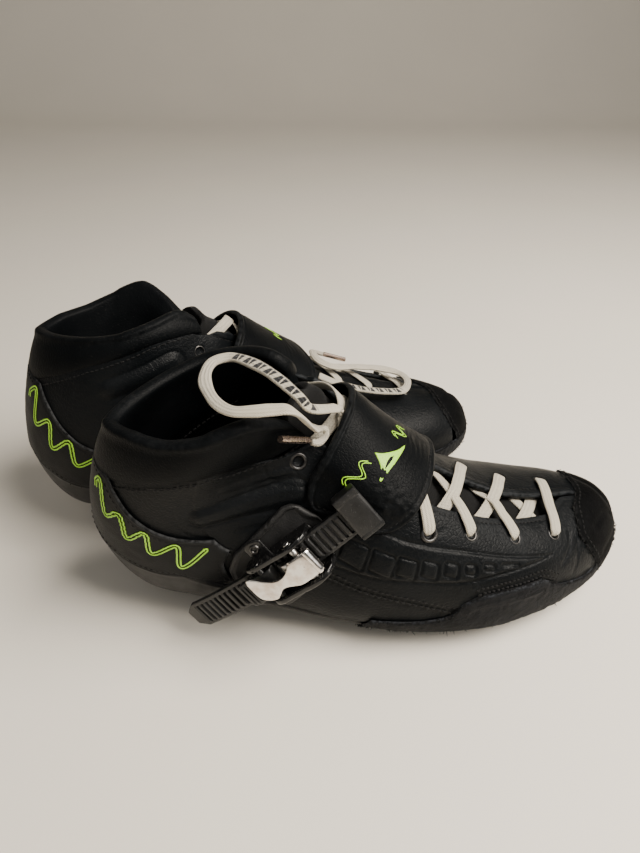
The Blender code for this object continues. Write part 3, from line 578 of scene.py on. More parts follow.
def metal(name, tone, warm, roughness, scratch=0.5):
    """Metal with drawn lines, tarnish and pits."""
    f = Finish(name, roughness, 1.0)
    stretched = f.add("Mapping", {"Vector": f.place, "Rotation": (0.2, 0.5, 0.8),
                                  "Scale": (3000.0, 190.0, 1300.0)})
    lines = f.noise(1.0, 4.0, stretched, 0.65)
    tarnish = f.noise(170.0, 5.0, rough=0.65)
    shade = f.blend(f.span(tarnish, 0.42, 0.66), tone, warm)
    pits = f.span(f.noise(800.0, 4.0, rough=0.7), 0.62, 0.7)
    f.colour(f.blend(f.sum("MULTIPLY", pits, 0.55), shade, tuple(c * 0.35 for c in warm)))
    f.rough(f.sum("ADD", f.span(lines, 0.35, 0.7, roughness - 0.04, roughness + 0.16 * scratch),
                  f.sum("MULTIPLY", pits, 0.3), clamp=True))
    return f.bump((lines, 0.3 * scratch, 0.05), (tarnish, 0.12, 0.12), (pits, 0.2, 0.05))


def woven_lace():
    """Cream tubular braid. The lay is metres along, and across from -1 to 1 on the upper
    face; a dark edge thread and a row of dark woven dashes run where the mask says."""
    f = Finish("lace_braid", 0.88, Sheen_Weight=0.2, Sheen_Roughness=0.45,
               Specular_IOR_Level=0.25)
    x, y, _ = f.split()
    slant = f.sum("MULTIPLY", y, 0.0033)
    rows = []
    for shifted in (f.sum("ADD", x, slant), f.sum("SUBTRACT", x, slant)):
        rows.append(f.sum("SINE", f.sum("MULTIPLY", shifted, 2 * math.pi / 0.00105)))
    herring = f.sum("MAXIMUM", rows[0], rows[1])
    cream = f.blend(f.span(herring, -0.4, 1.0), (0.40, 0.365, 0.29), (0.63, 0.58, 0.475))
    dirt = f.span(f.noise(260.0, 5.0, rough=0.7), 0.5, 0.78, 0.0, 0.4)
    cream = f.blend(dirt, cream, (0.34, 0.30, 0.235))
    beat = f.sum("FRACT", f.sum("DIVIDE", x, 0.0066))
    lean = f.sum("FRACT", f.sum("ADD", f.sum("DIVIDE", x, 0.0066),
                                f.sum("MULTIPLY", y, 0.20)))
    bar = f.sum("MULTIPLY", f.sum("LESS_THAN", lean, 0.74), f.sum("GREATER_THAN", lean, 0.08))
    middle = f.sum("LESS_THAN", f.sum("ABSOLUTE", y), 0.68)
    gap = f.sum("GREATER_THAN", f.sum("ABSOLUTE", f.sum("SUBTRACT", beat, 0.34)), 0.055)
    dashes = f.sum("MULTIPLY", f.sum("MULTIPLY", bar, middle), gap)
    edge = f.sum("LESS_THAN", f.sum("ABSOLUTE", f.sum("SUBTRACT", y, 0.86)), 0.05)
    dark = f.sum("MULTIPLY", f.sum("MAXIMUM", dashes, edge), f.mask("marks"), clamp=True)
    f.colour(f.blend(dark, cream, (0.02, 0.02, 0.022)))
    f.rough(f.span(dirt, 0.0, 0.5, 0.82, 0.95))
    ribs = f.sum("SINE", f.sum("MULTIPLY", y, 11.0))
    return f.bump((herring, 0.75, 0.22), (ribs, 0.5, 0.25), (f.noise(2300.0, 3.0), 0.5, 0.16),
                  (f.noise(240.0, 2.0), 0.4, 0.4))


def printed():
    """Cracked green print."""
    f = Finish("green_print", 0.5)
    crack = f.span(f.noise(1500.0, 4.0, rough=0.7), 0.55, 0.72, 0.0, 0.75)
    shade = f.blend(f.noise(300.0, 3.0), (0.28, 0.62, 0.02), (0.42, 0.80, 0.04))
    f.colour(f.blend(crack, shade, (0.05, 0.09, 0.02)))
    f.rough(f.span(crack, 0.0, 0.75, 0.45, 0.7))
    return f.bump((f.cells(950.0, "SMOOTH_F1"), 0.4, 0.12), (crack, 0.4, 0.08))


def pale(name, tone, roughness):
    """A plain pale surface for the floor."""
    f = Finish(name, roughness)
    speck, broad = f.noise(900.0, 4.0), f.noise(4.0, 3.0)
    f.colour(f.blend(f.span(broad, 0.3, 0.7), tone, tuple(c * 0.965 for c in tone)))
    f.rough(f.span(speck, 0.3, 0.7, roughness - 0.05, roughness + 0.05))
    return f.bump((speck, 0.06, 0.2))


LEATHER = leather("black_leather", (0.0026, 0.0033, 0.0040), (0.0052, 0.0062, 0.0072), 0.40,
                  depth=0.26, shine=0.10)
SOFT = leather("soft_leather", (0.0022, 0.0027, 0.0032), (0.0044, 0.0051, 0.0058), 0.42,
               grain=1250.0, depth=0.20, dust=0.05, shine=0.05)
HEEL = leather("heel_panel", (0.0048, 0.0053, 0.0058), (0.0088, 0.0094, 0.0100), 0.50,
               grain=1500.0, depth=0.1, shine=0.12)
TOE = leather("toe_leather", (0.0018, 0.0020, 0.0022), (0.0040, 0.0042, 0.0045), 0.60,
              grain=1700.0, depth=0.3, dust=0.06, shine=0.02)
SUEDE = suede("split_leather", (0.0020, 0.0022, 0.0026), (0.0080, 0.0086, 0.0098))
LINING = cloth("black_lining", (0.0020, 0.0020, 0.0021), (0.0060, 0.0060, 0.0062))
# Black lining leather, its tone set near black, far darker than the outer leathers, as painted
# shade inside the opening.
SHADED_INNER = leather("inner_leather_shaded", (0.0006, 0.0006, 0.0006), (0.0014, 0.0014, 0.0014), 0.6,
                grain=700.0, depth=0.14, dust=0.12, shine=0.05)
SHELL = plastic("black_composite", (0.0030, 0.0031, 0.0034), (0.0060, 0.0062, 0.0066), 0.50, 0.2)
NYLON = plastic("black_nylon", (0.0055, 0.0056, 0.0058), (0.0110, 0.0112, 0.0115), 0.40, 0.25,
                0.15)
GLOSS = plastic("gloss_nylon", (0.0035, 0.0036, 0.0038), (0.0075, 0.0076, 0.0080), 0.17, 0.4)
RUBBER = plastic("ribbed_rubber", (0.0075, 0.0075, 0.0078), (0.0150, 0.0150, 0.0155), 0.55, 0.2,
                 0.5)
CHROME = metal("worn_chrome", (0.78, 0.76, 0.73), (0.58, 0.50, 0.44), 0.13)
STEEL = metal("plain_steel", (0.52, 0.52, 0.51), (0.42, 0.39, 0.36), 0.30)
BLACKED = metal("blacked_steel", (0.05, 0.05, 0.052), (0.11, 0.105, 0.10), 0.34)
CRIMP = metal("aglet_metal", (0.55, 0.44, 0.38), (0.42, 0.31, 0.25), 0.26)
THREAD = cloth("thread", (0.0080, 0.0080, 0.0082), (0.032, 0.032, 0.033), 0.0006)
LACE = woven_lace()
GREEN = printed()


# ---------------------------------------------------------------- camera, light and floor

def look(location, target, roll=0.0):
    """A rotation that aims at the target."""
    turn = (Vector(target) - Vector(location)).to_track_quat("-Z", "Y")
    return turn.to_matrix() @ Matrix.Rotation(math.radians(roll), 3, "Z")


TARGET, DISTANCE = Vector((0.0006, 0.0374, 0.045)), 0.4127
PITCH, ROLL_DEGREES = math.radians(34.12), 0.255
LENS_MM, SENSOR_MM = 26.7, 36.0
SWEEP_START, SWEEP_RADIUS, SWEEP_STEPS = 1.5, 0.6, 24
FLOOR_FRONT, FLOOR_SIDE, WALL_TOP = -2.5, 3.0, 2.5
# name: place, size in metres, watts, tint
LAMPS = (("key", (0.62, -0.25, 0.92), 0.7, 30.0, (1.0, 0.925, 0.825)),
         ("fill", (-0.30, -0.9, 1.0), 1.0, 1.8, (1.0, 0.965, 0.92)),
         ("rim", (0.85, -0.5, 0.55), 0.5, 1.4, (1.0, 0.97, 0.93)))
ROOM_TINT, ROOM_STRENGTH = (0.80, 0.775, 0.735, 1.0), 0.22


def stage():
    """The camera, a pale floor that sweeps up far behind, and soft lights."""
    camera = bpy.data.objects.new("camera", bpy.data.cameras.new("camera"))
    camera.location = TARGET + Vector((0, -math.cos(PITCH), math.sin(PITCH))) * DISTANCE
    camera.rotation_euler = look(camera.location, TARGET, ROLL_DEGREES).to_euler()
    camera.data.lens, camera.data.sensor_width = LENS_MM, SENSOR_MM
    camera.data.clip_start = 0.01
    bpy.context.scene.collection.objects.link(camera)
    bpy.context.scene.camera = camera

    bm = bmesh.new()
    rows = []
    profile = [(FLOOR_FRONT, 0.0), (SWEEP_START, 0.0)]
    profile += [(SWEEP_START + SWEEP_RADIUS * math.sin(a), SWEEP_RADIUS * (1 - math.cos(a)))
                for a in np.linspace(0, math.pi / 2, SWEEP_STEPS)[1:]]
    profile.append((SWEEP_START + SWEEP_RADIUS, WALL_TOP))
    for y, z in profile:
        rows.append([bm.verts.new((x, y, z)) for x in (-FLOOR_SIDE, FLOOR_SIDE)])
    for (a, b), (c, d) in zip(rows, rows[1:]):
        bm.faces.new((a, b, d, c))
    data = bpy.data.meshes.new("floor")
    bm.to_mesh(data)
    bm.free()
    data.shade_smooth()
    data.materials.append(pale("pale_floor", (0.84, 0.79, 0.70), 0.55))
    floor = bpy.data.objects.new("floor", data)
    bpy.context.scene.collection.objects.link(floor)

    for name, place, size, power, tint in LAMPS:
        lamp = bpy.data.objects.new(name, bpy.data.lights.new(name, "AREA"))
        lamp.data.size, lamp.data.energy, lamp.data.color = size, power, tint
        lamp.location = place
        lamp.rotation_euler = look(place, (0.0, 0.0, 0.05)).to_euler()
        bpy.context.scene.collection.objects.link(lamp)
    sky = bpy.data.worlds.new("room")
    sky.use_nodes = True
    background = sky.node_tree.nodes["Background"]
    background.inputs[0].default_value = ROOM_TINT
    background.inputs[1].default_value = ROOM_STRENGTH
    bpy.context.scene.world = sky


stage()


# ---------------------------------------------------------------- stitches, rings, fibres

def capsule(middle, along, up, length, radius):
    """One stitch: a short thread that dips at both ends."""
    share = np.linspace(-1, 1, 6)
    route = middle + along * share[:, None] * length / 2 - up * (share**2)[:, None] * radius
    width = 2 * radius * np.sqrt(np.maximum(1 - share**4, 0.12))
    points, faces, _ = ribbon(route, np.tile(up, (6, 1)), width, width, 6)
    return points, faces


STITCHES = []


def stitch(places, lift=0.0, pitch=3.1, radius=0.36, lifted=None):
    """A row of stitches along (t, v) places; lifted gives the lift at each (t, v)."""
    route, up, t, v = on_boot(places, 0.0, 0.25)
    lifts = lifted(t, v) if lifted else np.full(len(t), lift)
    route = route + up * (lifts + 0.05)[:, None]
    reach, along = reach_along(route), heading(route)
    for place in np.arange(pitch / 2, reach[-1], pitch):
        k = int(np.searchsorted(reach, place))
        STITCHES.append(capsule(route[k], along[k], up[k], pitch * 0.74, radius))


def beside(places, gap, step=1.5):
    """(t, v) places on a line gap millimetres to one side of a line on the surface."""
    fine = dense(curve(places), 0.05)
    points, up = surface(fine[:, 0], fine[:, 1]), normal(fine[:, 0], fine[:, 1])
    side = np.cross(up, heading(points)) * gap
    t, v = fine[:, 0], fine[:, 1]
    per_t = surface(t + 0.02, v) - surface(t - 0.02, v)
    per_v = surface(t, v + 0.02) - surface(t, v - 0.02)
    dt = np.sum(side * per_t, -1) / np.sum(per_t**2, -1) * 0.04
    dv = np.sum(side * per_v, -1) / np.sum(per_v**2, -1) * 0.04
    moved = np.stack([t + dt, v + dv], -1)
    skip = max(1, int(len(moved) * step / max(lengths(points, 0)[-1], 1)))
    return moved[::skip]


def washer(middle, up, inner, outer, height, count=28):
    """A turned ring with a rounded top, standing on the surface."""
    side = unit(np.cross(up, (0.3, 0.9, 0.1)))
    other = np.cross(up, side)
    bend = np.linspace(0, math.pi, 7)
    wide = (outer - inner) / 2
    profile = [(inner + wide - wide * math.cos(a), height * math.sin(a)) for a in bend]
    profile = [(inner, -2.0)] + profile + [(outer, -0.6)]
    turn = np.linspace(0, 2 * math.pi, count, endpoint=False)[:, None, None]
    r, h = np.array(profile).T[:, None, :, None]
    points = middle + (side * np.cos(turn) + other * np.sin(turn)) * r + up * h
    rows, columns = points.shape[:2]
    faces = []
    for i in range(rows):
        k = (i + 1) % rows
        for j in range(columns):
            m = (j + 1) % columns
            faces.append([i * columns + j, k * columns + j, k * columns + m, i * columns + m])
    return points.reshape(-1, 3), faces


FIBRES = []


def fray(places, count, reach, lift=0.0, out=0.6, spread=0.8):
    """Loose fibre ends along a cut edge."""
    route, up, _, _ = on_boot(places, lift, 0.4)
    along = heading(route)
    side = np.cross(up, along)
    for _ in range(count):
        k = random.randrange(len(route))
        length = reach * random.uniform(0.35, 1.0) * (1.8 if random.random() < 0.08 else 1)
        way = (up[k] * random.uniform(0.1, 1.0) * out + side[k] * random.uniform(-1, 1) * spread
               + along[k] * random.uniform(-0.8, 0.8))
        way = unit(way)
        bend = unit(np.array([random.uniform(-1, 1) for _ in range(3)])) * length * 0.35
        share = np.linspace(0, 1, 4)[:, None]
        strand = (route[k] - up[k] * 0.3 + way * share * length + bend * share**2)
        width = np.array((0.55, 0.48, 0.36, 0.16)) * random.uniform(0.5, 1.4)
        points, faces, _ = ribbon(strand, np.tile(up[k], (4, 1)), width, width, 4)
        FIBRES.append((points, faces))


# ---------------------------------------------------------------- upper

def capped(t, top_of_v, start=9.6, full=13.0):
    """Squeezes rows past start so that the last one lies on a line over v."""
    return np.where(t > start, start + (t - start) * (top_of_v - start) / (full - start), t)


LEAF = ((8.6, -0.66), (7.45, -0.63), (6.66, -0.615), (5.75, -0.57), (4.96, -0.565),
        (4.12, -0.60), (4.96, -0.68), (5.68, -0.77), (6.34, -0.82), (7.12, -0.87),
        (7.84, -0.90), (8.6, -0.90))
WINDOWS = ((7.64, -0.80, 14, 13), (7.13, -0.785, 12.5, 12), (6.72, -0.765, 10.5, 10.5),
           (6.35, -0.74, 9, 9), (6.0, -0.71, 8, 7.5), (5.68, -0.685, 6.5, 5.5),
           (5.36, -0.655, 7, 4), (4.98, -0.63, 10, 1.8))
LOW_SEAM = ((9.75, -1.01), (9.2, -0.985), (8.4, -0.95), (7.71, -0.95), (6.79, -0.95),
            (6.27, -0.955), (5.68, -0.985), (5.3, -1.03), (4.6, -1.1))


def swollen(points, ends, radius, height, groove_depth):
    """A raised capsule between two (t, v, radius) ends, with a pressed line round it."""
    (ta, va), (tb, vb) = ends
    a, b = surface(ta, va), surface(tb, vb)
    share = np.clip(((points - a) @ (b - a)) / np.sum((b - a)**2), 0, 1)
    away = np.linalg.norm(points - (a + share[..., None] * (b - a)), axis=-1)
    size = radius[0] + (radius[1] - radius[0]) * share
    rise = height * smoothstep(0, 1, (size - away) / size * 1.35)
    return rise - groove_depth * np.exp(-((away - size - 0.2) / 0.75)**2)


def windows(points):
    """Eight pressed frames with soft middles, shrinking towards the toe."""
    lift = np.zeros(points.shape[:-1])
    for t, v, long, high in WINDOWS:
        middle, up = surface(t, v), normal(t, v)
        along = unit(surface(t - 0.05, v) - surface(t + 0.05, v))
        side = np.cross(up, along)
        x, y = (points - middle) @ along, (points - middle) @ side
        away = from_box(x + 0.16 * y, y, long / 2, high / 2, min(1.9, high * 0.42))
        near = np.linalg.norm(points - middle, axis=-1) < 15
        press = -0.9 * np.exp(-((away + 0.4) / 0.45)**2)
        press += 0.28 * smoothstep(0.8, 2.6, -away) + 0.12 * np.exp(-((away - 0.8) / 0.6)**2)
        lift += np.where(near, press, 0)
    return lift


def mesh_quarter(name, rows, low, high, share, features, nodes):
    """One side of the upper, between two lines that run from toe to collar."""
    rows = np.asarray(rows)
    t, v = fan(rows, low(rows), high(rows), share)
    t = capped(t, line(COLLAR_SEAM, v) + 0.12)
    ground = surface(t, v)
    edge = from_border(ground)
    lift = features(ground, t, v)
    lift -= rounding(edge, 1.1)
    lift += 0.22 * ripple(ground, 24.0, 3.0) + 0.07 * ripple(ground, 7.0, 9.0)
    panel(name, t, v, lift, -2.6, LEATHER, "leather", nodes=nodes,
          worn_and_highlit=(0.9 * np.exp(-edge / 0.8)
                + 0.35 * np.clip(ripple(ground, 13.0, 5.0) - 0.55, 0, 1)))


def columns_of(parts):
    """Shares from 0 to 1 in stretches of (end, count)."""
    found, start = [0.0], 0.0
    for end, count in parts:
        found += list(np.linspace(start, end, count + 1)[1:])
        start = end
    return np.array(found)


def throat_band(ground, edge_line):
    """How far each point is from the throat's edge."""
    rows = np.linspace(3.2, 12.8, 220)
    return apart(ground, dense(surface(rows, line(edge_line, rows)), 0.5))


def lateral_features(ground, t, v):
    """The outer side's leaf, windows, seams, heel pads, creases and eyelets."""
    loop = np.array(LEAF)
    round_loop = dense(np.vstack([curve(loop[:6], 10), curve(loop[5:], 10)]), 0.02)
    away = apart(ground, dense(surface(round_loop[:, 0], round_loop[:, 1]), 0.35))
    within = inside(t, v, round_loop)
    lift = np.where(within, 0.75 * smoothstep(0.2, 1.8, away), 0.0)
    lift -= 0.55 * np.exp(-(away / 0.5)**2)
    lift += windows(ground)
    seam = on_boot(LOW_SEAM)[0]
    lift += groove(ground, seam, 0.5, 0.5)
    lift += groove(ground, on_boot(beside(LOW_SEAM, -3.1))[0], 0.45, 0.35)
    below = np.interp(t, [p[0] for p in LOW_SEAM[::-1]], [p[1] for p in LOW_SEAM[::-1]])
    lift -= 0.55 * smoothstep(-0.004, 0.012, below - v) * smoothstep(4.4, 4.9, t)
    lift += swollen(ground, ((10.75, -1.0), (9.35, -0.66)), (5.4, 6.4), 1.5, 0.5)
    lift += swollen(ground, ((11.0, -0.86), (9.9, -0.6)), (2.6, 2.4), 0.5, 0.0)
    for crease, depth in ((((10.9, -0.66), (10.2, -0.68), (9.6, -0.60)), 0.45),
                          (((10.3, -0.70), (9.7, -0.66), (9.2, -0.62)), 0.35),
                          (((9.9, -0.92), (9.6, -0.86), (9.3, -0.83)), 0.35),
                          (((11.4, -1.15), (10.7, -1.12), (10.2, -1.02)), 0.35),
                          (((6.2, -0.47), (6.6, -0.60), (7.2, -0.66)), 0.25),
                          (((3.9, -0.72), (3.7, -0.60), (3.6, -0.45)), 0.3),
                          (((3.6, -0.86), (3.5, -0.72), (3.45, -0.55)), 0.3)):
        lift += groove(ground, on_boot(crease)[0], 1.0, depth)
    throat = throat_band(ground, THROAT_OUTER)
    lift += -0.3 * np.exp(-((throat - 3.4) / 0.5)**2)
    for at in EYELETS_OUTER:
        away = np.linalg.norm(ground - surface(*at), axis=-1)
        lift -= 1.4 * (1 - smoothstep(1.2, 3.8, away))
    return lift


def medial_features(ground, t, v):
    """The inner side's heel pad, seams, stay, folds and eyelets."""
    lift = swollen(ground, ((11.95, 1.08), (11.3, 0.62)), (5.4, 6.2), 1.4, 0.5)
    mirrored = [(a, -b) for a, b in LOW_SEAM]
    lift += groove(ground, on_boot(mirrored)[0], 0.5, 0.5)
    lift += groove(ground, on_boot(beside(mirrored, 3.1))[0], 0.45, 0.35)
    throat = throat_band(ground, THROAT_INNER)
    lift += 0.55 * (1 - smoothstep(4.0, 5.2, throat)) - 0.3 * np.exp(-((throat - 5.2) / 0.5)**2)
    folds = np.sin(t * 95 + 5 * ripple(ground, 9.0)) * np.clip(ripple(ground, 5.0, 2.0), 0, 1)
    lift += 0.16 * folds * (1 - smoothstep(3.5, 5.0, throat))
    for at in EYELETS_INNER:
        away = np.linalg.norm(ground - surface(*at), axis=-1)
        lift -= 1.2 * (1 - smoothstep(1.2, 3.8, away))
    return lift


def stretch(*parts):
    """Rows in stretches of (start, end, step in millimetres times thirty)."""
    found = []
    for start, end, count in parts:
        found += list(np.linspace(start, end, count, endpoint=False))
    return found + [parts[-1][1]]


def quarters():
    """Both sides of the upper, with their seams' stitches."""
    rows = stretch((2.45, 3.7, 40), (3.7, 8.3, 210), (8.3, 13.0, 130))
    sharp = columns_of(((0.02, 3), (0.22, 16), (0.80, 72), (0.975, 20), (1.0, 5)))
    mesh_quarter("quarter_lateral", rows, lambda t: -line(SOLE_LINE, t),
                 lambda t: line(THROAT_OUTER, t), sharp, lateral_features,
                 ("quarter_lateral",))
    rows = stretch((2.45, 13.0, 230))
    plain = columns_of(((0.03, 5), (0.3, 30), (0.97, 40), (1.0, 4)))
    mesh_quarter("quarter_medial", rows, lambda t: line(THROAT_INNER, t),
                 lambda t: line(SOLE_LINE, t), plain, medial_features,
                 ("quarter_medial", "eyelet_stay"))
    for gap in (0.9, -2.2):
        stitch(beside(LOW_SEAM, gap), 0.1)
        stitch(beside([(a, -b) for a, b in LOW_SEAM], -gap), 0.1)
    for edge, end, gap, lift in ((THROAT_OUTER, 9.9, 3.4, -0.2), (THROAT_INNER, 10.8, -5.2, -0.1)):
        rows = np.linspace(3.9, end, 30)
        stitch(beside(np.stack([rows, line(edge, rows)], -1), gap), lift, 2.7, 0.3)


def toe_cap():
    """The suede cap over the toes, creased, with its seam's stitches and frayed edges."""
    nominal = np.r_[0, np.linspace(0.0, 1.0, 90)]
    v = np.r_[np.linspace(-1.96, -0.9, 46), np.linspace(-0.9, 0.9, 70)[1:-1],
              np.linspace(0.9, 1.96, 46)]
    sole = line(SOLE_LINE, nominal * 3)
    vv = v[None, :] * (sole / 1.96)[:, None]
    t = nominal[:, None]**1.25 * line(TOE_SEAM, vv)
    ground = surface(t, vv)
    edge = from_border(ground, (0, 1, 1, 1))
    lift = 1.2 - rounding(edge, 1.0)
    lift += 0.25 * ripple(ground, 26.0, 1.0) + 0.07 * ripple(ground, 6.0, 4.0)
    for crease, depth, width in ((((2.9, 0.25), (2.2, 0.05), (1.5, -0.25), (1.0, -0.5)), 0.8, 2.6),
                                 (((2.8, -0.5), (2.2, -0.42), (1.7, -0.45)), 0.5, 1.8),
                                 (((2.5, -0.85), (1.9, -0.8), (1.3, -0.85)), 0.5, 2.2),
                                 (((2.6, 0.6), (1.9, 0.45), (1.2, 0.5)), 0.4, 2.0)):
        lift += groove(ground, on_boot(crease)[0], width, depth)

    def closed_in_front(side):
        side[0, :, 1] = side[0, :, 1].mean()
        side[0, :, 0] += 0.6
    panel("toe_cap", t, vv, lift, 0.15, TOE, "suede", shaped=closed_in_front,
          worn_and_highlit=0.9 * np.exp(-edge / 0.7) + 0.15 * np.clip(ripple(ground, 9.0), 0, 1))
    seam = [(line(TOE_SEAM, x) - 0.14, x) for x in np.linspace(-1.25, 1.1, 26)]
    stitch(seam, 1.25, 3.0, 0.38)
    edge = [(line(TOE_SEAM, x) + 0.01, x) for x in np.linspace(-1.3, 1.3, 26)]
    fray(edge, 240, 1.4, 1.0)
    low_edge = [(0.5, 1.3), (0.35, 0.9), (0.2, 0.4), (0.2, -0.4), (0.4, -1.0), (0.6, -1.3)]
    fray(low_edge, 260, 1.5, 1.3)


def heel_counter():
    """The suede panel round the heel, the same on both sides."""
    lower = ((1.0, 9.7), (1.1, 9.55), (1.2, 9.15), (1.3, 9.95), (1.5, 10.45), (1.8, 11.25),
             (2, 11.5))
    upper = ((1.0, 10.15), (1.2, 10.8), (1.35, 11.37), (1.55, 12.05), (1.67, 12.38), (2, 12.62))
    v = np.linspace(1.0, 3.0, 170)
    near = 2 - np.abs(v - 2)
    vv, t = fan(v, line(lower, near), line(upper, near), np.linspace(0, 1, 56), True)
    ground = surface(t, vv)
    edge = from_border(ground)
    lift = 1.5 - rounding(edge, 1.0) + 0.2 * ripple(ground, 17.0) + 0.08 * ripple(ground, 5.0)
    lift -= 0.25 * np.exp(-((edge - 2.4) / 0.5)**2)
    panel("heel_counter", t, vv, lift, 0.1, HEEL, "suede_panel", worn_and_highlit=1.2 * np.exp(-edge / 0.7))
    for rim, gap in ((lower, 2.4), (upper, -2.4)):
        inner = [(line(rim, 2 - abs(x - 2)), x) for x in np.linspace(1.05, 2.95, 40)]
        stitch(beside(inner, gap), 1.3, 2.9, 0.34)
        fray(inner, 60, 1.0, 1.0)


def heel_motif():
    """A leaning wave, drawn as the outline of a broad stroke, over each side of the heel."""
    flow = curve([(12.3, -1.78), (11.89, -1.63), (11.30, -1.43), (10.58, -1.27), (10.0, -1.09)])
    for mirror in (1, -1):
        base = flow * (1, mirror)
        base_points = surface(base[:, 0], base[:, 1])
        reach = lengths(base_points, 0)
        phase = np.linspace(0, 1, 420)
        total = reach[-1]
        wave = np.sin(phase * 2 * math.pi * 4.5 - 0.9)
        run = phase * total + 3.4 * wave
        off = 8.2 * wave * (1 - 0.25 * phase) + 1.6 * np.cos(phase * 2 * math.pi * 1.6)
        t = np.interp(run, reach, base[:, 0])
        v = np.interp(run, reach, base[:, 1])
        up = normal(t, v)
        height = unit(np.cross(up, np.cross((0, 0, 1.0), up)))
        centre = surface(t, v) + height * off[:, None]
        along = heading(centre)
        side = np.cross(up, along)
        for gap in (0.85, -0.85):
            stroke = centre + side * gap + up * 0.12
            INK.append((settled(stroke, 1.72), up, 0.9))


INK = []


def settled(points, lift):
    """Points brought back to a lift above the nearest place on the surface."""
    t, v = GRID_T.ravel(), GRID_V.ravel()
    moved = []
    for p in points:
        _, k, _ = GRID_TREE.find(p)
        a, b = t[k], v[k]
        for _ in range(3):
            base = surface(a, b)
            gap = p - base
            per_t = (surface(a + 0.02, b) - surface(a - 0.02, b)) / 0.04
            per_v = (surface(a, b + 0.02) - surface(a, b - 0.02)) / 0.04
            a += float(gap @ per_t / (per_t @ per_t))
            b += float(gap @ per_v / (per_v @ per_v))
        moved.append(surface(a, b, lift))
    return np.array(moved)


GRID_T, GRID_V = np.meshgrid(np.linspace(0, 13, 131), np.linspace(-1.99, 2, 134), indexing="ij")
GRID_TREE = kdtree.KDTree(GRID_T.size)
for index, spot in enumerate(surface(GRID_T, GRID_V).reshape(-1, 3)):
    GRID_TREE.insert(spot, index)
GRID_TREE.balance()


def toe_bumper():
    """Rough patches along both sides of the toe, padded over the little toe."""
    line_top = ((0, 0.82), (0.9, 0.87), (2.2, 0.95), (3.3, 0.985), (3.95, 0.90), (4.38, 0.775),
                (5.03, 0.815), (5.45, 0.86), (5.66, 0.93), (5.75, 1.0), (6.79, 1.17))
    low = ((0, 1.93), (0.45, 1.92), (0.9, 1.62), (1.5, 1.49), (6.8, 1.49))
    rows = np.r_[0.0, np.linspace(0.0, 6.85, 190)]
    seams = (2.2, 4.6)

    def closed_in_front(side):
        side[0, :, 1] = 6.5
        side[0, :, 0] += 0.5

    def along_edge(edge, start, end, count, shift=0.0):
        return [(a, mirror * (line(edge, a) + shift)) for a in np.linspace(start, end, count)]
    for name, mirror in (("bumper_lateral", -1), ("bumper_medial", 1)):
        t, v = fan(rows, line(line_top, rows), line(low, rows), np.linspace(0, 1, 36))
        v = v * mirror
        ground = surface(t, v)
        edge = from_border(ground, (0, 1, 1, 1))
        top_gap = lengths(ground, 1)
        pad = smoothstep(3.9, 4.5, t) * (1 - smoothstep(5.3, 5.8, t))
        lift = 1.3 + 1.3 * pad * (1 - smoothstep(5.0, 9.0, top_gap)) - rounding(edge, 1.1)
        for row in seams:
            lift -= pad * 0.95 * np.exp(-((top_gap - row) / 0.6)**2)
        lift += 0.18 * ripple(ground, 9.0, 2.0) + 0.22 * ripple(ground, 2.4, 6.0)
        panel(name, t, v, lift, 0.1, SUEDE, "suede", nodes=("toe_bumper",) if mirror < 0 else (),
              shaped=closed_in_front, flip=mirror < 0,
              worn_and_highlit=0.8 * np.exp(-edge / 0.8) + 0.2 * np.clip(ripple(ground, 7.0, 1.0), 0, 1))
        fray(along_edge(line_top, 0.6, 6.8, 60), 320, 1.3, 1.5)
        fray(along_edge(low, 0.4, 6.9, 60, -0.02), 760, 2.2, 1.4, 1.2)
        for gap in seams:
            stitch(beside(along_edge(line_top, 4.1, 5.5, 14), gap * mirror), 2.1, 2.4, 0.42)


def sole():
    """The hard shell under the boot, with a soft ridge along its rim."""
    rows = stretch((0.75, 11.9, 150))
    start = line(SOLE_LINE, rows)
    t, v = fan(rows, start, 4 - start, np.linspace(0, 1, 74))
    ground = surface(t, v)
    edge = from_border(ground)
    lift = 0.3 - rounding(edge, 1.2) + 0.12 * ripple(ground, 30.0)
    lift += 0.5 * np.exp(-((edge - 2.0) / 1.2)**2)
    panel("sole_shell", t, v, lift, -2.6, SHELL, "composite")


# ---------------------------------------------------------------- soft parts

def collar_form(v, roll):
    """The padded roll's section: from the outer seam over the rim to the inner seam."""
    around = (v + 2) % 4 - 2
    seam, top = line(COLLAR_SEAM, around), line(COLLAR_RIM, around)
    outer = np.array((0.0, 0.035, 0.12, 0.26, 0.42, 0.58, 0.74, 0.86, 0.95))
    puff = np.array((-0.4, 0.25, 0.85, 1.3, 1.5, 1.4, 1.1, 0.55, 0.35))
    rows = []
    for share, lift in zip(outer, puff):
        rows.append(surface(seam + (top - seam) * share, v, lift * roll))
    rim = surface(top, v)
    up, out = unit(surface(top + 0.2, v) - rim), normal(np.minimum(top, 12.9), v)
    for angle in np.linspace(0.05, 0.9, 7) * math.pi:
        rows.append(rim + out * (-3.0 + 3.7 * math.cos(angle))
                    + up * (0.6 + 3.0 * math.sin(angle)))
    for drop, lift in ((0.2, -7.2), (0.5, -8.2), (0.8, -8.4), (1.1, -8.0), (1.35, -7.2),
                       (1.55, -6.0), (1.65, -4.2)):
        rows.append(surface(top - drop, v, lift))
    for drop in (1.2, 0.6):
        rows.append(surface(np.minimum(top - drop, seam + 0.1), v, -3.4))
    rows.append(surface(seam + 0.02, v, -2.4))
    return np.stack(rows, 1)


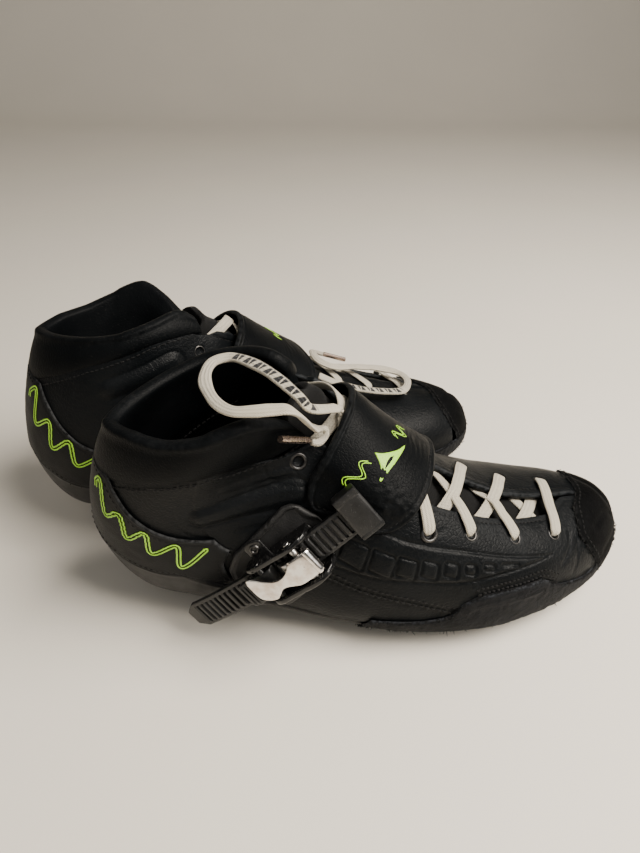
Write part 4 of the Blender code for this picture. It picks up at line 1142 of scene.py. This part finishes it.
def simulated(name, points, faces, pinned, pressure, swell, frames, cap):
    """Cloth whose pinned points stay put; the result, with no point moved beyond cap."""
    data = bpy.data.meshes.new(name)
    data.from_pydata((np.asarray(points) * MM).tolist(), [], [list(f) for f in faces])
    obj = bpy.data.objects.new(name, data)
    bpy.context.scene.collection.objects.link(obj)
    group = obj.vertex_groups.new(name="held")
    for index, weight in enumerate(pinned):
        if weight > 0:
            group.add([index], float(weight), "REPLACE")
    soft = obj.modifiers.new("cloth", "CLOTH")
    s = soft.settings
    s.quality, s.mass = 6, 0.15
    s.tension_stiffness = s.compression_stiffness = 12.0
    s.shear_stiffness, s.bending_stiffness = 6.0, 0.35
    s.use_pressure, s.uniform_pressure_force = True, pressure
    s.shrink_min = -swell
    s.vertex_group_mass = "held"
    s.effector_weights.gravity = 0.0
    soft.collision_settings.use_collision = False
    soft.point_cache.frame_start, soft.point_cache.frame_end = 1, frames
    scene = bpy.context.scene
    for frame_number in range(1, frames + 1):
        scene.frame_set(frame_number)
    mesh = obj.evaluated_get(bpy.context.evaluated_depsgraph_get()).to_mesh()
    moved = np.empty(len(mesh.vertices) * 3)
    mesh.vertices.foreach_get("co", moved)
    scene.frame_set(1)
    bpy.data.objects.remove(obj)
    moved = moved.reshape(-1, 3) / MM
    step = moved - points
    size = np.linalg.norm(step, axis=1, keepdims=True)
    return points + step * np.minimum(1, cap / np.maximum(size, 1e-9))


COLLAR_COLUMNS = 96
COLLAR_INNER_ROWS = 22    # the first of the section's points that lie against the boot inside


def collar():
    """The padded collar, puffed up by a short cloth run."""
    v = np.linspace(0.33, 3.56, COLLAR_COLUMNS)
    ends = np.minimum(np.arange(COLLAR_COLUMNS), np.arange(COLLAR_COLUMNS)[::-1])
    roll = 1 - 0.35 * np.exp(-ends / 2.0)
    grid = collar_form(v, roll)
    rows, columns = grid.shape[:2]
    faces = []
    for i in range(rows - 1):
        for j in range(columns):
            k = (j + 1) % columns
            faces.append([i * columns + j, (i + 1) * columns + j,
                          (i + 1) * columns + k, i * columns + k])
    for i, flip in ((0, 1), (rows - 1, -1)):
        faces.append([i * columns + j for j in range(columns)][::flip])
    points = grid.reshape(-1, 3)
    hold = np.zeros((rows, columns))
    hold[:, 0] = hold[:, COLLAR_INNER_ROWS:] = 1.0
    hold[:2] = hold[-2:] = 1.0
    points = simulated("collar_cloth", points, faces, hold.ravel(), pressure=1.6,
                       swell=0.03, frames=14, cap=1.6)
    flip = [f[::-1] for f in faces]
    # Painted highlight: a lighter band over the roll's upper outer face, from just below the crest
    # to just past it.
    wear_and_highlight = np.zeros((rows, columns))
    wear_and_highlight[:, 8:14] = 0.12
    wear_and_highlight = wear_and_highlight.ravel() * np.clip(0.6 + ripple(points, 12.0), 0, 1.2)
    piece("collar", points, flip, SOFT, nodes=("collar",), slot="leather_soft", levels=2,
          padded=0.7, masks={"wear_and_highlight": wear_and_highlight})
    for start, end in ((-1.98, -0.5), (0.45, 1.98)):
        places = np.linspace(start, end, 40)
        stitch(np.stack([line(COLLAR_SEAM, places) - 0.09, places], -1), 0.15, 2.9, 0.33)


def laid(t, v):
    """Metres along and across a grid, for weaves."""
    ground = surface(t, v)
    return np.stack([lengths(ground, 0), lengths(ground, 1)], -1) * MM


def sheet_piece(name, rows, v_from, v_to, columns, top, bottom, finish, slot, padded=None):
    """A sheet inside the boot; top gives its upper side's lift."""
    t, v = fan(rows, v_from, v_to, np.linspace(0, 1, columns))
    ground = surface(t, v)
    uv = laid(t, v).reshape(-1, 2)
    panel(name, t, v, top(t, v, from_border(ground), ground), bottom, finish, slot,
          padded=padded, uv=np.vstack([uv, uv]))


def linings():
    """The lining, the insole and the padded tongue."""
    def level(lift):
        return lambda t, v, edge, ground: np.full(t.shape, lift)

    def crown(t, v, edge, ground):
        quilt = 0.5 * np.abs(np.sin(t * 2.6)) * smoothstep(1.0, 6.0, edge)
        return (-6.4 + 0.9 * smoothstep(0, 9, edge) + quilt - rounding(edge, 1.6)
                + 0.3 * ripple(ground, 9.0))
    rows = stretch((0.95, 11.45, 110))
    wide = np.full(len(rows), 0.6)
    # The lining's near-black tone paints the shade inside the opening.
    sheet_piece("lining", rows, wide, 4 - wide - 0.06, 90, level(-3.0), -4.0, SHADED_INNER, "lining")
    stitch([(11.1, v) for v in np.linspace(0.75, 3.2, 40)], -4.25, 3.2, 0.42)
    rows = stretch((1.2, 10.4, 80))
    sheet_piece("insole", rows, np.full(len(rows), 1.5), np.full(len(rows), 2.5), 40,
                level(-4.3), -6.6, LINING, "lining")
    rows = stretch((3.3, 11.35, 130))
    lateral = line(((3.4, -0.60), (9, -0.60), (10.5, -0.50), (11.0, -0.44), (11.25, -0.34),
                    (11.35, -0.2)), rows)
    medial = line(((3.4, 0.50), (9, 0.50), (10.5, 0.40), (11.0, 0.34), (11.25, 0.24),
                   (11.35, 0.1)), rows)
    sheet_piece("tongue", rows, lateral, medial, 70, crown, -9.4, LINING, "lining", padded=0.5)


STRAP_LIFT = ((-0.66, 0.7), (-0.57, 1.0), (-0.49, 4.6), (0.5, 4.6), (0.8, 0.8))


def strap_lift(v):
    """The strap's underside, rounded where it leaves the boot."""
    return np.mean([line(STRAP_LIFT, v + d) for d in (-0.035, -0.02, 0.0, 0.02, 0.035)], 0)


def strap():
    """The broad strap over the instep, folded and stitched along its edges."""
    front = curve(((-0.70, 7.9), (-0.66, 7.5), (-0.57, 7.06), (-0.36, 6.72), (-0.12, 6.47),
                   (0.15, 6.2), (0.5, 6.3), (0.8, 6.6)))
    rear = curve(((-0.70, 8.6), (-0.66, 9.0), (-0.58, 9.25), (-0.45, 9.3), (0, 9.35),
                  (0.5, 9.2), (0.8, 9.0)))
    v = np.r_[np.linspace(-0.69, -0.40, 62), np.linspace(-0.40, 0.80, 96)[1:]]
    share = columns_of(((0.03, 4), (0.97, 64), (1.0, 4)))
    vv, t = fan(v, line(front, v), line(rear, v), share, True)
    share = share[:, None]
    ground = surface(t, vv)
    base = strap_lift(vv)
    edge = from_border(ground, (1, 1, 1, 0))
    lift = base + 2.4 + 0.5 * smoothstep(0, 12, edge) - rounding(edge, 1.5)
    lift -= 0.45 * np.exp(-((edge - 3.3) / 0.55)**2)
    lift += 0.3 * np.exp(-((edge - 1.6) / 0.9)**2)
    folds = np.zeros_like(lift)
    for middle, depth, seed in ((0.18, 0.34, 1.0), (0.3, 0.3, 4.0)):
        lines = np.sin(share * 160 + 4.0 * ripple(ground, 14.0, seed))
        folds += depth * 0.5 * lines * np.exp(-((share - middle) / 0.13)**2)
    lift += folds * smoothstep(-0.42, -0.15, vv)
    crinkle = np.exp(-(((vv + 0.5) / 0.11)**2 + ((t - 7.4) / 0.5)**2))
    lift += crinkle * (0.5 + 0.5 * ripple(ground, 2.6, 5.0)) + 0.18 * ripple(ground, 11.0, 2.0)
    panel("instep_strap", t, vv, lift, base, SOFT, "leather_soft", padded=0.35,
          worn_and_highlit=0.8 * np.exp(-edge / 0.8) + 0.3 * np.exp(-((edge - 3.3) / 0.5)**2))

    def above(t, v):
        return strap_lift(v) + 2.25
    inset_front = np.stack([line(front, v) + 0.13, v], -1)[4:-2:6]
    inset_rear = np.stack([line(rear, v) - 0.115, v], -1)[4:-2:6]
    end = np.stack([np.linspace(line(front, -0.665) + 0.15, line(rear, -0.665) - 0.13, 8),
                    np.full(8, -0.662)], -1)
    for route in (inset_front, inset_rear, end):
        stitch(route, lifted=above, pitch=3.0, radius=0.34)


def strap_motif():
    """A small generic mark in green: a bright chevron leaf between two light waves."""
    leaf = ((8.05, -0.30), (7.82, -0.27), (7.5, -0.20), (7.28, -0.13), (7.46, -0.245),
            (7.62, -0.35), (7.74, -0.42), (7.83, -0.345))
    middle = (7.70, -0.28)
    lift = float(strap_lift(np.array(-0.28))) + 3.05
    outline_of_leaf = curve(np.vstack([leaf, leaf[:1]]), 5)[:-1]
    rings = []
    for share, height in ((1.0, -0.3), (1.0, 0.0), (0.93, 0.08), (0.5, 0.12)):
        at = np.array(middle) + (outline_of_leaf - middle) * share
        rings.append(surface(at[:, 0], at[:, 1], lift + height - 0.05))
    parts = [tube(np.stack(rings))]
    turns = 1.5
    share = np.linspace(0, 1, 70)
    for t0, v0, t1, v1 in ((8.35, -0.52, 8.05, -0.36), (7.5, -0.12, 7.18, 0.02)):
        t = t0 + (t1 - t0) * share + 0.13 * np.sin(share * turns * 2 * math.pi)
        v = v0 + (v1 - v0) * share
        for gap in (0.0, 0.085):
            route = surface(t + gap, v, strap_lift(v) + 3.0)
            parts.append(ribbon(route, normal(t, v), 0.5, 0.3, 6)[:2])
    points, faces, _ = joined(parts)
    piece("strap_mark", points, faces, GREEN)


def base_plate():
    """The rubber pad under the buckle, with a raised border and pressed shapes."""
    v = np.linspace(0.70, 1.26, 84)
    rear = line(((0.70, 9.1), (0.71, 9.3), (0.74, 9.45), (0.8, 9.5), (1.0, 9.58), (1.1, 9.42),
                 (1.2, 9.0), (1.24, 8.85), (1.26, 8.7)), v)
    front = line(((0.70, 8.6), (0.71, 8.4), (0.74, 8.25), (1.0, 7.95), (1.22, 8.06), (1.25, 8.2),
                  (1.26, 8.4)), v)
    vv, t = fan(-v, front, rear, columns_of(((0.04, 4), (0.96, 60), (1.0, 4))), True)
    ground = surface(t, vv)
    edge = from_border(ground)
    lift = 3.1 - rounding(edge, 1.3) - 0.9 * smoothstep(2.4, 3.2, edge)
    x, y = lengths(ground, 0), lengths(ground, 1)
    wide = x[-1:].max()
    for cx, cy, hx, hy, corner in ((wide - 9.5, 6.5, 5.5, 2.6, 1.4), (wide - 9, 17, 3.8, 3.0, 0.6)):
        away = from_box(x - cx, y - cy, hx, hy, corner)
        lift += 0.7 * np.exp(-(away / 0.55)**2) - 0.35 * smoothstep(0, 0.6, -away)
    lift += 0.2 * np.sin(y * 2 * math.pi / 1.6) * smoothstep(3.4, 4.4, edge) * (
        1 - smoothstep(wide - 17, wide - 15, x))
    panel("buckle_plate", t, vv, lift, 0.6, RUBBER, "rubber", worn_and_highlit=0.0, flip=True)


# ---------------------------------------------------------------- lacing

LACE_WIDTH, LACE_THICK = 6.3, 1.5


def strand(start, end, side, level):
    """One crossing: up out of an eyelet, over the throat, under the far edge, up again."""
    (t0, v0), (t1, v1) = start, end
    edge_near = THROAT_OUTER if side == "outer" else THROAT_INNER
    edge_far = THROAT_INNER if side == "outer" else THROAT_OUTER

    def crossing(edge):
        share = 0.5
        for _ in range(5):
            share = (line(edge, t0 + (t1 - t0) * share) - v0) / (v1 - v0)
        return share
    near, far = crossing(edge_near), crossing(edge_far)
    stops = ((0.0, -3.6), (0.0, -1.2), (0.03, 0.9), (near * 0.35, 1.5), (near * 0.8, 1.35),
             (near + 0.05, 0.9), ((near + far) / 2, level), (far - 0.05, -2.6),
             (far + 0.04, -4.1), ((far + 1) / 2, -4.4), (0.97, -4.3), (1.0, -3.6))
    return [(t0 + (t1 - t0) * s, v0 + (v1 - v0) * s, lift) for s, lift in stops]


def laced(places):
    """A flat lace through (t, v, lift) places, facing off the surface."""
    places = curve(np.asarray(places, float), 8)
    points = surface(places[:, 0], places[:, 1], places[:, 2])
    fine = dense(np.hstack([points, places[:, :2]]), 1.1)
    up = normal(fine[:, 3], fine[:, 4])
    steep = smoothstep(0.5, 0.95, np.abs(np.sum(heading(fine[:, :3]) * up, -1)))
    return ribbon(fine[:, :3], up, LACE_WIDTH * (1 - 0.42 * steep), LACE_THICK * (1 + 0.5 * steep))


def lacing():
    """The straight first crossing, two runs under the throat, then the criss-cross."""
    outer, inner = EYELETS_OUTER, EYELETS_INNER

    def run(a, b, share, lift):
        share = np.array(share)
        return laced(np.stack([a[0] + (b[0] - a[0]) * share, a[1] + (b[1] - a[1]) * share,
                               lift], -1))
    parts = [run(outer[0], inner[0],
                 (0, 0, 0.02, 0.12, 0.25, 0.4, 0.5, 0.6, 0.75, 0.88, 0.98, 1, 1),
                 (-3.4, -1.0, 0.9, 1.6, 1.5, 0.9, 0.7, 0.9, 1.5, 1.6, 0.9, -1.0, -3.4))]
    for a, b, middle in ((outer[0], inner[1], -4.4), (inner[0], outer[1], -3.2)):
        parts.append(run(a, b, (0, 0.1, 0.3, 0.5, 0.7, 0.9, 1.0),
                         (-3.2, -4.3, -4.6, middle, -4.6, -4.4, -3.4)))
    for i in range(1, 6):
        first = "outer" if i % 2 else "inner"
        for side, here, there in (("outer", outer, inner), ("inner", inner, outer)):
            level = 0.9 if side == first else -0.9
            parts.append(laced(strand(here[i], there[i + 1], side, level)))
    points, faces, uv = joined(parts)
    piece("lacing", points, faces, LACE, nodes=("lacing",), slot="lace", uv=uv * (MM, 1),
          masks={"marks": np.zeros(len(points))})


BOW_WIDTH, BOW_THICK = 5.3, 2.3


def right_bow():
    """A loop that leaves the strap's rear edge, hangs over the opening and comes back, then
    turns under the edge and runs to its metal tip."""
    leaves = [surface(t, v, lift) for t, v, lift in ((9.5, -0.22, 4.2), (9.7, -0.22, 5.6))]
    hangs = [(113.5, -20, 131.5), (108, -19, 137.5), (100, -11.5, 142.5), (93, -2, 143.5),
             (85, 6.5, 143.5), (79, 9.5, 143), (72.5, 6.5, 142.5), (69.5, -3, 142),
             (70, -14, 142), (74, -27, 142), (80, -34, 142), (88, -36, 142.5),
             (96, -36, 142.5), (104, -34, 140)]
    returns = [surface(t, v, lift) for t, v, lift in (
        (10.6, -0.40, 6.4), (9.85, -0.36, 5.2), (9.6, -0.38, 4.6), (9.75, -0.43, 5.4),
        (10.1, -0.45, 6.0))]
    return np.array(leaves + hangs + returns)


def left_bow():
    """A loop that leaves the strap's front edge, lies forward over the vamp and comes back,
    then turns towards the outer side and ends in its metal tip."""
    return np.array([surface(t, v, lift) for t, v, lift in (
        (6.1, 0.22, 5.2), (5.75, 0.25, 6.5), (5.2, 0.26, 7.5), (4.6, 0.24, 7.5),
        (4.0, 0.19, 7.0), (3.66, 0.03, 6.8), (3.75, -0.10, 7.0), (4.3, -0.11, 7.5),
        (5.0, -0.03, 7.5), (5.6, 0.05, 6.6), (5.95, 0.02, 5.8), (5.95, -0.12, 5.6),
        (5.75, -0.23, 5.4), (5.5, -0.31, 5.4))])


def lace_bow(side, route, face, marked, stub):
    """One lace end: a soft flat cord with its woven marks, gathered into its tip."""
    path = dense(curve(route, 12), 1.0)
    reach = reach_along(path)
    up = np.tile(unit(np.array(face, float)), (len(path), 1))
    gather = smoothstep(stub, 0.0, reach[-1] - reach)
    soft = 1 + 0.06 * np.sin(reach / 7.0) + 0.05 * np.sin(reach / 3.1 + 1.0)
    along = heading(path)
    turn = np.linalg.norm(np.gradient(along, axis=0), axis=1)
    turn = np.convolve(np.pad(turn, 4, mode="edge"), np.ones(9) / 9, "valid")
    pinch = 1 - 0.5 * smoothstep(0.1, 0.3, turn)
    points, faces, uv = ribbon(path, up, BOW_WIDTH * soft * pinch * (1 - 0.5 * gather),
                               BOW_THICK * (1 + 0.2 * gather), 16)
    low, high = marked
    marks = smoothstep(low - 1, low, uv[:, 0]) * (1 - smoothstep(high, high + 1, uv[:, 0]))
    made = piece("lace_bow", points, faces, LACE, nodes=("lace_bow",), slot="lace",
                 uv=uv * (MM, 1), masks={"marks": marks}, sides=(side,))[side]


def eyelets():
    """Metal rings; two on the outer side are larger."""
    rings = []
    for row in (EYELETS_OUTER, EYELETS_INNER):
        for k, (t, v) in enumerate(row):
            bold = row is EYELETS_OUTER and k in (3, 6)
            middle, up = surface(t, v, -0.9), normal(t, v)
            rings.append(washer(middle, up, 2.3, 4.6 if bold else 3.5, 1.7 if bold else 0.9))
    points, faces, _ = joined(rings)
    piece("eyelets", points, faces, BLACKED)


# ---------------------------------------------------------------- the ratchet buckle

def bar(stations, corner=0.45, end=0.7, count=28, fine=5):
    """A rounded bar along the arc through (s, n low, n high, w low, w high) stations."""
    path = curve(np.asarray(stations, float), fine)
    first, last = path[0], path[-1]

    def shrunk(row, amount, shift):
        s, a, b, c, d = row
        half = min(amount, (b - a) * 0.45)
        return [s + shift, a + half, b - half, c + amount, d - amount]
    ends = [(1.0, 0.0), (0.45, 0.13), (0.13, 0.45)]
    rows = [shrunk(first, k * end, m * end) for k, m in ends]
    rows += [list(r) for r in path if first[0] + end < r[0] < last[0] - end]
    rows += [shrunk(last, k * end, -m * end) for k, m in ends[::-1]]
    s, n_low, n_high, w_low, w_high = np.array(rows).T[:, :, None]
    angle = np.linspace(0, 2 * math.pi, count, endpoint=False) + math.pi / count
    wave_w, wave_n = (np.sign(a) * np.abs(a)**corner for a in (np.cos(angle), np.sin(angle)))
    n = (n_low + n_high) / 2 + (n_high - n_low) / 2 * wave_n
    w = (w_low + w_high) / 2 + (w_high - w_low) / 2 * wave_w
    return tube(arc(s, n, w))


def disc(s, n, radius, low, high, count=36, soft=0.25):
    """A turned pin or boss across the arc."""
    axis_from, axis_to = arc(s, n, low), arc(s, n, high)
    axis = unit(axis_to - axis_from)
    side = unit(np.cross(axis, arc(s + 1, n, 0) - arc(s, n, 0)))
    other = np.cross(axis, side)
    angle = np.linspace(0, 2 * math.pi, count, endpoint=False)
    rim = side * np.cos(angle)[:, None] + other * np.sin(angle)[:, None]
    length = high - low
    rows = []
    for at, r in ((0, 0.55), (0, 1 - soft / radius), (soft * 0.35, 1 - soft * 0.3 / radius),
                  (soft, 1), (length - soft, 1), (length - soft * 0.35, 1 - soft * 0.3 / radius),
                  (length, 1 - soft / radius), (length, 0.55)):
        rows.append(axis_from + axis * at + rim * radius * r)
    return tube(np.stack(rows))


def build(name, parts, finish, body="", nodes=(), slot=None):
    """Parts as one piece; faces are turned outwards where needed."""
    points, faces, _ = joined(parts)
    bm = bmesh.new()
    data = bpy.data.meshes.new("check")
    data.from_pydata(points.tolist(), [], faces)
    bm.from_mesh(data)
    bmesh.ops.recalc_face_normals(bm, faces=bm.faces)
    order = [[v.index for v in f.verts] for f in bm.faces]
    bm.free()
    bpy.data.meshes.remove(data)
    piece(name, points, order, finish, body, nodes, slot, sharp=35,
          masks={"wear_and_highlight": np.zeros(len(points))})


LADDER_START, LADDER_END, LADDER_PITCH = -43.0, 70.0, 3.3
LADDER_HALF_WIDTH = 7.5


def ladder():
    """The toothed strap: a strip with a plain rim, ribs across it and a blunt tip."""
    start, end = LADDER_START, LADDER_END
    s = np.arange(start, end + 0.01, 0.42)
    share = np.r_[0, 0.02, 0.05, np.linspace(0.08, 0.92, 26), 0.95, 0.98, 1.0]
    tip = np.interp(s, (start, start + 2, end - 7, end - 1.2, end),
                    (5.5, LADDER_HALF_WIDTH, LADDER_HALF_WIDTH, 4.2, 3.4))
    w = tip[:, None] * (share[None, :] * 2 - 1)
    ss = np.repeat(s[:, None], len(share), 1)
    step = (ss - (start + 4)) / LADDER_PITCH
    beat = step - np.floor(step)
    tooth = smoothstep(0.0, 0.12, beat) * (1 - smoothstep(0.60, 0.76, beat))
    tooth *= (ss > start + 4) & (ss < end - 8.6)
    inner = 1 - smoothstep(5.2, 5.6, np.abs(w))
    rail = smoothstep(5.3, 5.7, np.abs(w)) * (1 - smoothstep(7.1, 7.5, np.abs(w)) * 0.6)
    top = 0.55 + 1.45 * tooth * inner + 0.95 * np.maximum(rail, smoothstep(end - 8.5, end - 8, ss)
                                                         * (1 - smoothstep(end - 1.6, end, ss)))
    edge = np.minimum(tip[:, None] - np.abs(w), np.minimum(ss - start, end - ss))
    top -= rounding(np.maximum(edge, 0), 0.6)
    grid = arc(ss, top, w)
    thinned = 1 - smoothstep(start, start + 9, ss)
    low = arc(ss, -1.0 + rounding(np.maximum(edge, 0), 0.5) + 0.9 * thinned, w)
    points, faces = shell(grid, low)
    build("ladder_strap", [(points, faces.tolist())], NYLON, "ladder", ("ladder_strap",),
          "plastic")


def keeper():
    """A bevelled block over the strip, open from end to end."""
    body = [(-43.2, 2.9, 4.3, -9.6, 11.6), (-42.2, 2.8, 4.7, -10.3, 12.3),
            (-37, 2.8, 4.9, -10.5, 12.5), (-31.8, 2.8, 4.7, -10.3, 12.3),
            (-30.8, 2.9, 4.3, -9.6, 11.6)]
    floor = [(s, -2.4, -1.4, -10.5, 12.5) for s in (-43, -37, -31)]
    sides = [[(s, -2.4, 4.9, low, high) for s in (-43, -40, -37, -34, -31)]
             for low, high in ((-10.7, -8.2), (8.2, 12.7))]
    build("strap_keeper", [bar(body, 0.3), bar(floor, 0.25)] + [bar(x, 0.3) for x in sides],
          NYLON, nodes=("strap_keeper",), slot="plastic")


def housing():
    """The buckle's floor, cheeks, tab and bosses, with the lever's pin and a rivet."""
    floor = [(-16, -3.4, -1.5, -9, 9), (-13, -3.4, -1.5, -11, 11), (2, -3.4, -1.5, -11, 11),
             (16, -3.4, -1.5, -11, 11), (20, -3.4, -1.5, -9.5, 9.5)]
    outline_of_cheek = [(-15.5, -3.0, 1.0), (-14.3, -3.2, 5.0), (-12, -3.3, 8.0), (-8.5, -3.3, 9.8),
                        (-5, -3.3, 10.5), (-1, -3.3, 10.0), (3, -3.3, 9.0), (9, -3.3, 8.2),
                        (15, -3.3, 7.5), (18.5, -3.2, 6.0), (20, -2.8, 2.5)]
    parts = [bar(floor, 0.3)]
    for low, high in ((-11.3, -8.7), (8.7, 11.3)):
        parts.append(bar([(s, a, b, low, high) for s, a, b in outline_of_cheek], 0.4, 0.9))
        way = 1 if low > 0 else -1
        edge = [(s, b - 1.1, b + 0.5, low + 0.5 * (way > 0) - 0.4 * (way < 0),
                 high + 0.4 * (way > 0) - 0.5 * (way < 0)) for s, a, b in outline_of_cheek[2:-1]]
        parts.append(bar(edge, 0.7, 0.6))
    tab = [(7, -2.9, -1.6, 8, 17.5), (9, -2.9, -1.5, 8, 18.6), (11.7, -2.9, -1.4, 8, 19.2),
           (14.5, -2.9, -1.5, 8, 18.6), (16.7, -2.9, -1.6, 8, 17.5)]
    parts.append(bar(tab, 0.5))
    for s, n, radius in ((-5.0, 6.8, 3.0), (13.5, 5.4, 2.6)):
        parts += [disc(s, n, radius, 11.1, 11.9), disc(s, n, radius, -11.9, -11.1)]
    build("buckle_housing", parts, GLOSS, nodes=("buckle_housing",), slot="plastic_gloss")
    build("lever_pin", [disc(-5.0, 6.8, 1.6, -12.3, 12.3, soft=0.4)], STEEL,
          nodes=("lever_pin",), slot="steel")
    middle, up = arc(12, -1.5, 15), unit(arc(12, 1, 15) - arc(12, 0, 15))
    build("base_rivet", [washer(middle, up, 1.0, 2.6, 0.9)], BLACKED, nodes=("base_rivet",),
          slot="steel")


def lever():
    """Chromed: a stepped block on the pin, a waist, and a broad dished blade."""
    blade = [(-12.2, 8.8, 10.2, -5.8, 6.0), (-11.2, 9.8, 11.6, -6.2, 6.4),
             (-8.5, 10.6, 12.4, -6.3, 6.5), (-4.0, 10.9, 12.7, -6.3, 6.3),
             (-1.6, 10.9, 12.6, -6.3, 5.6), (0.4, 10.7, 12.4, -6.0, 4.0),
             (3.0, 10.3, 12.0, -4.9, 2.2), (6.0, 9.9, 11.5, -3.7, 1.5),
             (8.5, 9.6, 11.1, -3.6, 1.7), (10.8, 9.3, 10.7, -5.0, 2.6),
             (13.5, 9.0, 10.4, -6.6, 4.5), (16.0, 8.8, 10.2, -6.2, 7.0),
             (18.0, 8.8, 10.2, -5.0, 8.8), (19.6, 8.9, 10.2, -3.2, 9.0),
             (20.6, 9.2, 10.2, -0.6, 7.4)]
    step = [(-12.2, 10.0, 12.1, -6.0, 6.2), (-11.0, 10.8, 13.0, -6.4, 6.6),
            (-9.9, 11.2, 13.1, -6.4, 6.6), (-9.1, 11.2, 12.6, -6.4, 6.6)]
    lugs = [[(-9.0, 4.9, 11.0, low, high), (-7.5, 4.2, 11.6, low, high),
             (-5.0, 3.9, 11.8, low, high), (-2.5, 4.2, 11.8, low, high),
             (-0.9, 5.2, 11.4, low, high)] for low, high in ((-6.2, -4.0), (4.2, 6.4))]
    knuckle = disc(-5.0, 6.8, 2.9, -6.0, 6.2)
    build("lever", [bar(blade, 0.42, 0.55, 32, 6), bar(step, 0.5, 0.5), knuckle]
          + [bar(x, 0.5) for x in lugs], CHROME, "lever", ("lever",), "chrome")


def pawl_and_latch():
    """The pawl that drives the strip, and the ribbed latch that lets it go."""
    pawl = [(0.3, 5.2, 7.2, -4.5, 4.5), (1.2, 4.4, 8.0, -4.5, 4.5), (3.5, 3.4, 7.4, -4.5, 4.5),
            (5.5, 2.9, 5.6, -4.5, 4.5), (6.5, 2.7, 4.4, -4.5, 4.5)]
    build("drive_pawl", [bar(pawl, 0.35, 0.4)], STEEL, "pawl", ("drive_pawl",), "steel")
    latch = [(8.5, 2.7, 4.0, -6.5, 6.5), (10.0, 3.0, 6.6, -6.5, 6.5), (13.5, 3.4, 7.4, -6.5, 6.5),
             (16.5, 3.6, 7.0, -6.5, 6.5), (20.5, 3.9, 6.4, -6.6, 6.6), (24.5, 4.3, 6.3, -7.0, 7.0),
             (28.0, 5.0, 6.6, -6.2, 6.2)]
    ribs = [bar([(s + shift, 5.6, high, -5.8, 5.8)
                 for shift, high in ((-0.5, 6.9), (0, 7.0), (0.5, 6.9))], 0.7, 0.3)
            for s in (21.5, 23.3, 25.1, 26.9)]
    build("release_latch", [bar(latch, 0.4, 0.6), disc(13.5, 5.4, 1.4, -10.4, 10.4)] + ribs,
          NYLON, "latch", ("release_latch",), "plastic")


def anchor():
    """The moulded plate that holds the strap's fixed end, with two bosses."""
    v = np.linspace(0.64, 1.05, 40)
    low = np.where(v < 0.845, np.interp(v, (0.64, 0.83), (line(STRAP_LIFT, 0.64) + 3.0,
                                                         line(STRAP_LIFT, 0.8) + 3.0)), 0.6)
    high = np.interp(v, (0.64, 0.74, 0.83, 0.86, 0.95, 1.05), (6.4, 5.8, 5.2, 4.8, 3.4, 2.6))
    share = columns_of(((0.05, 4), (0.95, 24), (1.0, 4)))[:, None]
    t = 7.3 + 1.3 * share + 0 * v
    vv = np.repeat(v[None, :], len(share), 0)
    ground = surface(t, vv)
    edge = from_border(ground)
    x, y = lengths(ground, 0) - lengths(ground, 0).max() / 2, lengths(ground, 1)
    lift = high + 0.2 - rounding(edge, 1.2) - 0.5 * smoothstep(2.4, 3.2, edge)
    for cy in (8.0, 16.0):
        away = np.hypot(x, y - cy)
        lift += 0.9 * (1 - smoothstep(2.6, 3.0, away)) - 0.4 * (1 - smoothstep(1.0, 1.3, away))
    panel("strap_anchor", t, vv, lift, low, NYLON, "plastic", worn_and_highlit=0.0)


def restyle():
    """CAD nodes that keep their shape get worked materials."""
    for side in ("right", "left"):
        for node, finish in (("front_mount_block", SHELL), ("rear_mount_block", SHELL),
                             ("front_mount_insert", STEEL), ("rear_mount_insert", STEEL),
                             ("lever_spring", STEEL), ("lace_aglet", CRIMP)):
            for holder in frame["nodes"][f"{side}_{node}"].material_slots:
                holder.material = finish


quarters()
toe_cap()
toe_bumper()
heel_counter()
sole()
collar()
linings()
strap()
strap_motif()
heel_motif()
base_plate()
lacing()
lace_bow("right", right_bow(), (-0.1, -0.45, 1.0), (22.0, 72.0), 9.0)
lace_bow("left", left_bow(), (0.1, 0.25, 1.0), (16.0, 60.0), 6.0)
eyelets()
ladder()
keeper()
housing()
lever()
pawl_and_latch()
anchor()
restyle()

for gathered_name, gathered, finish in (
        ("heel_mark", [ribbon(a, b, w, 0.25, 6)[:2] for a, b, w in INK], GREEN),
        ("stitching", STITCHES, THREAD), ("loose_fibres", FIBRES, THREAD)):
    points, faces, _ = joined(gathered)
    piece(gathered_name, points, faces, finish)
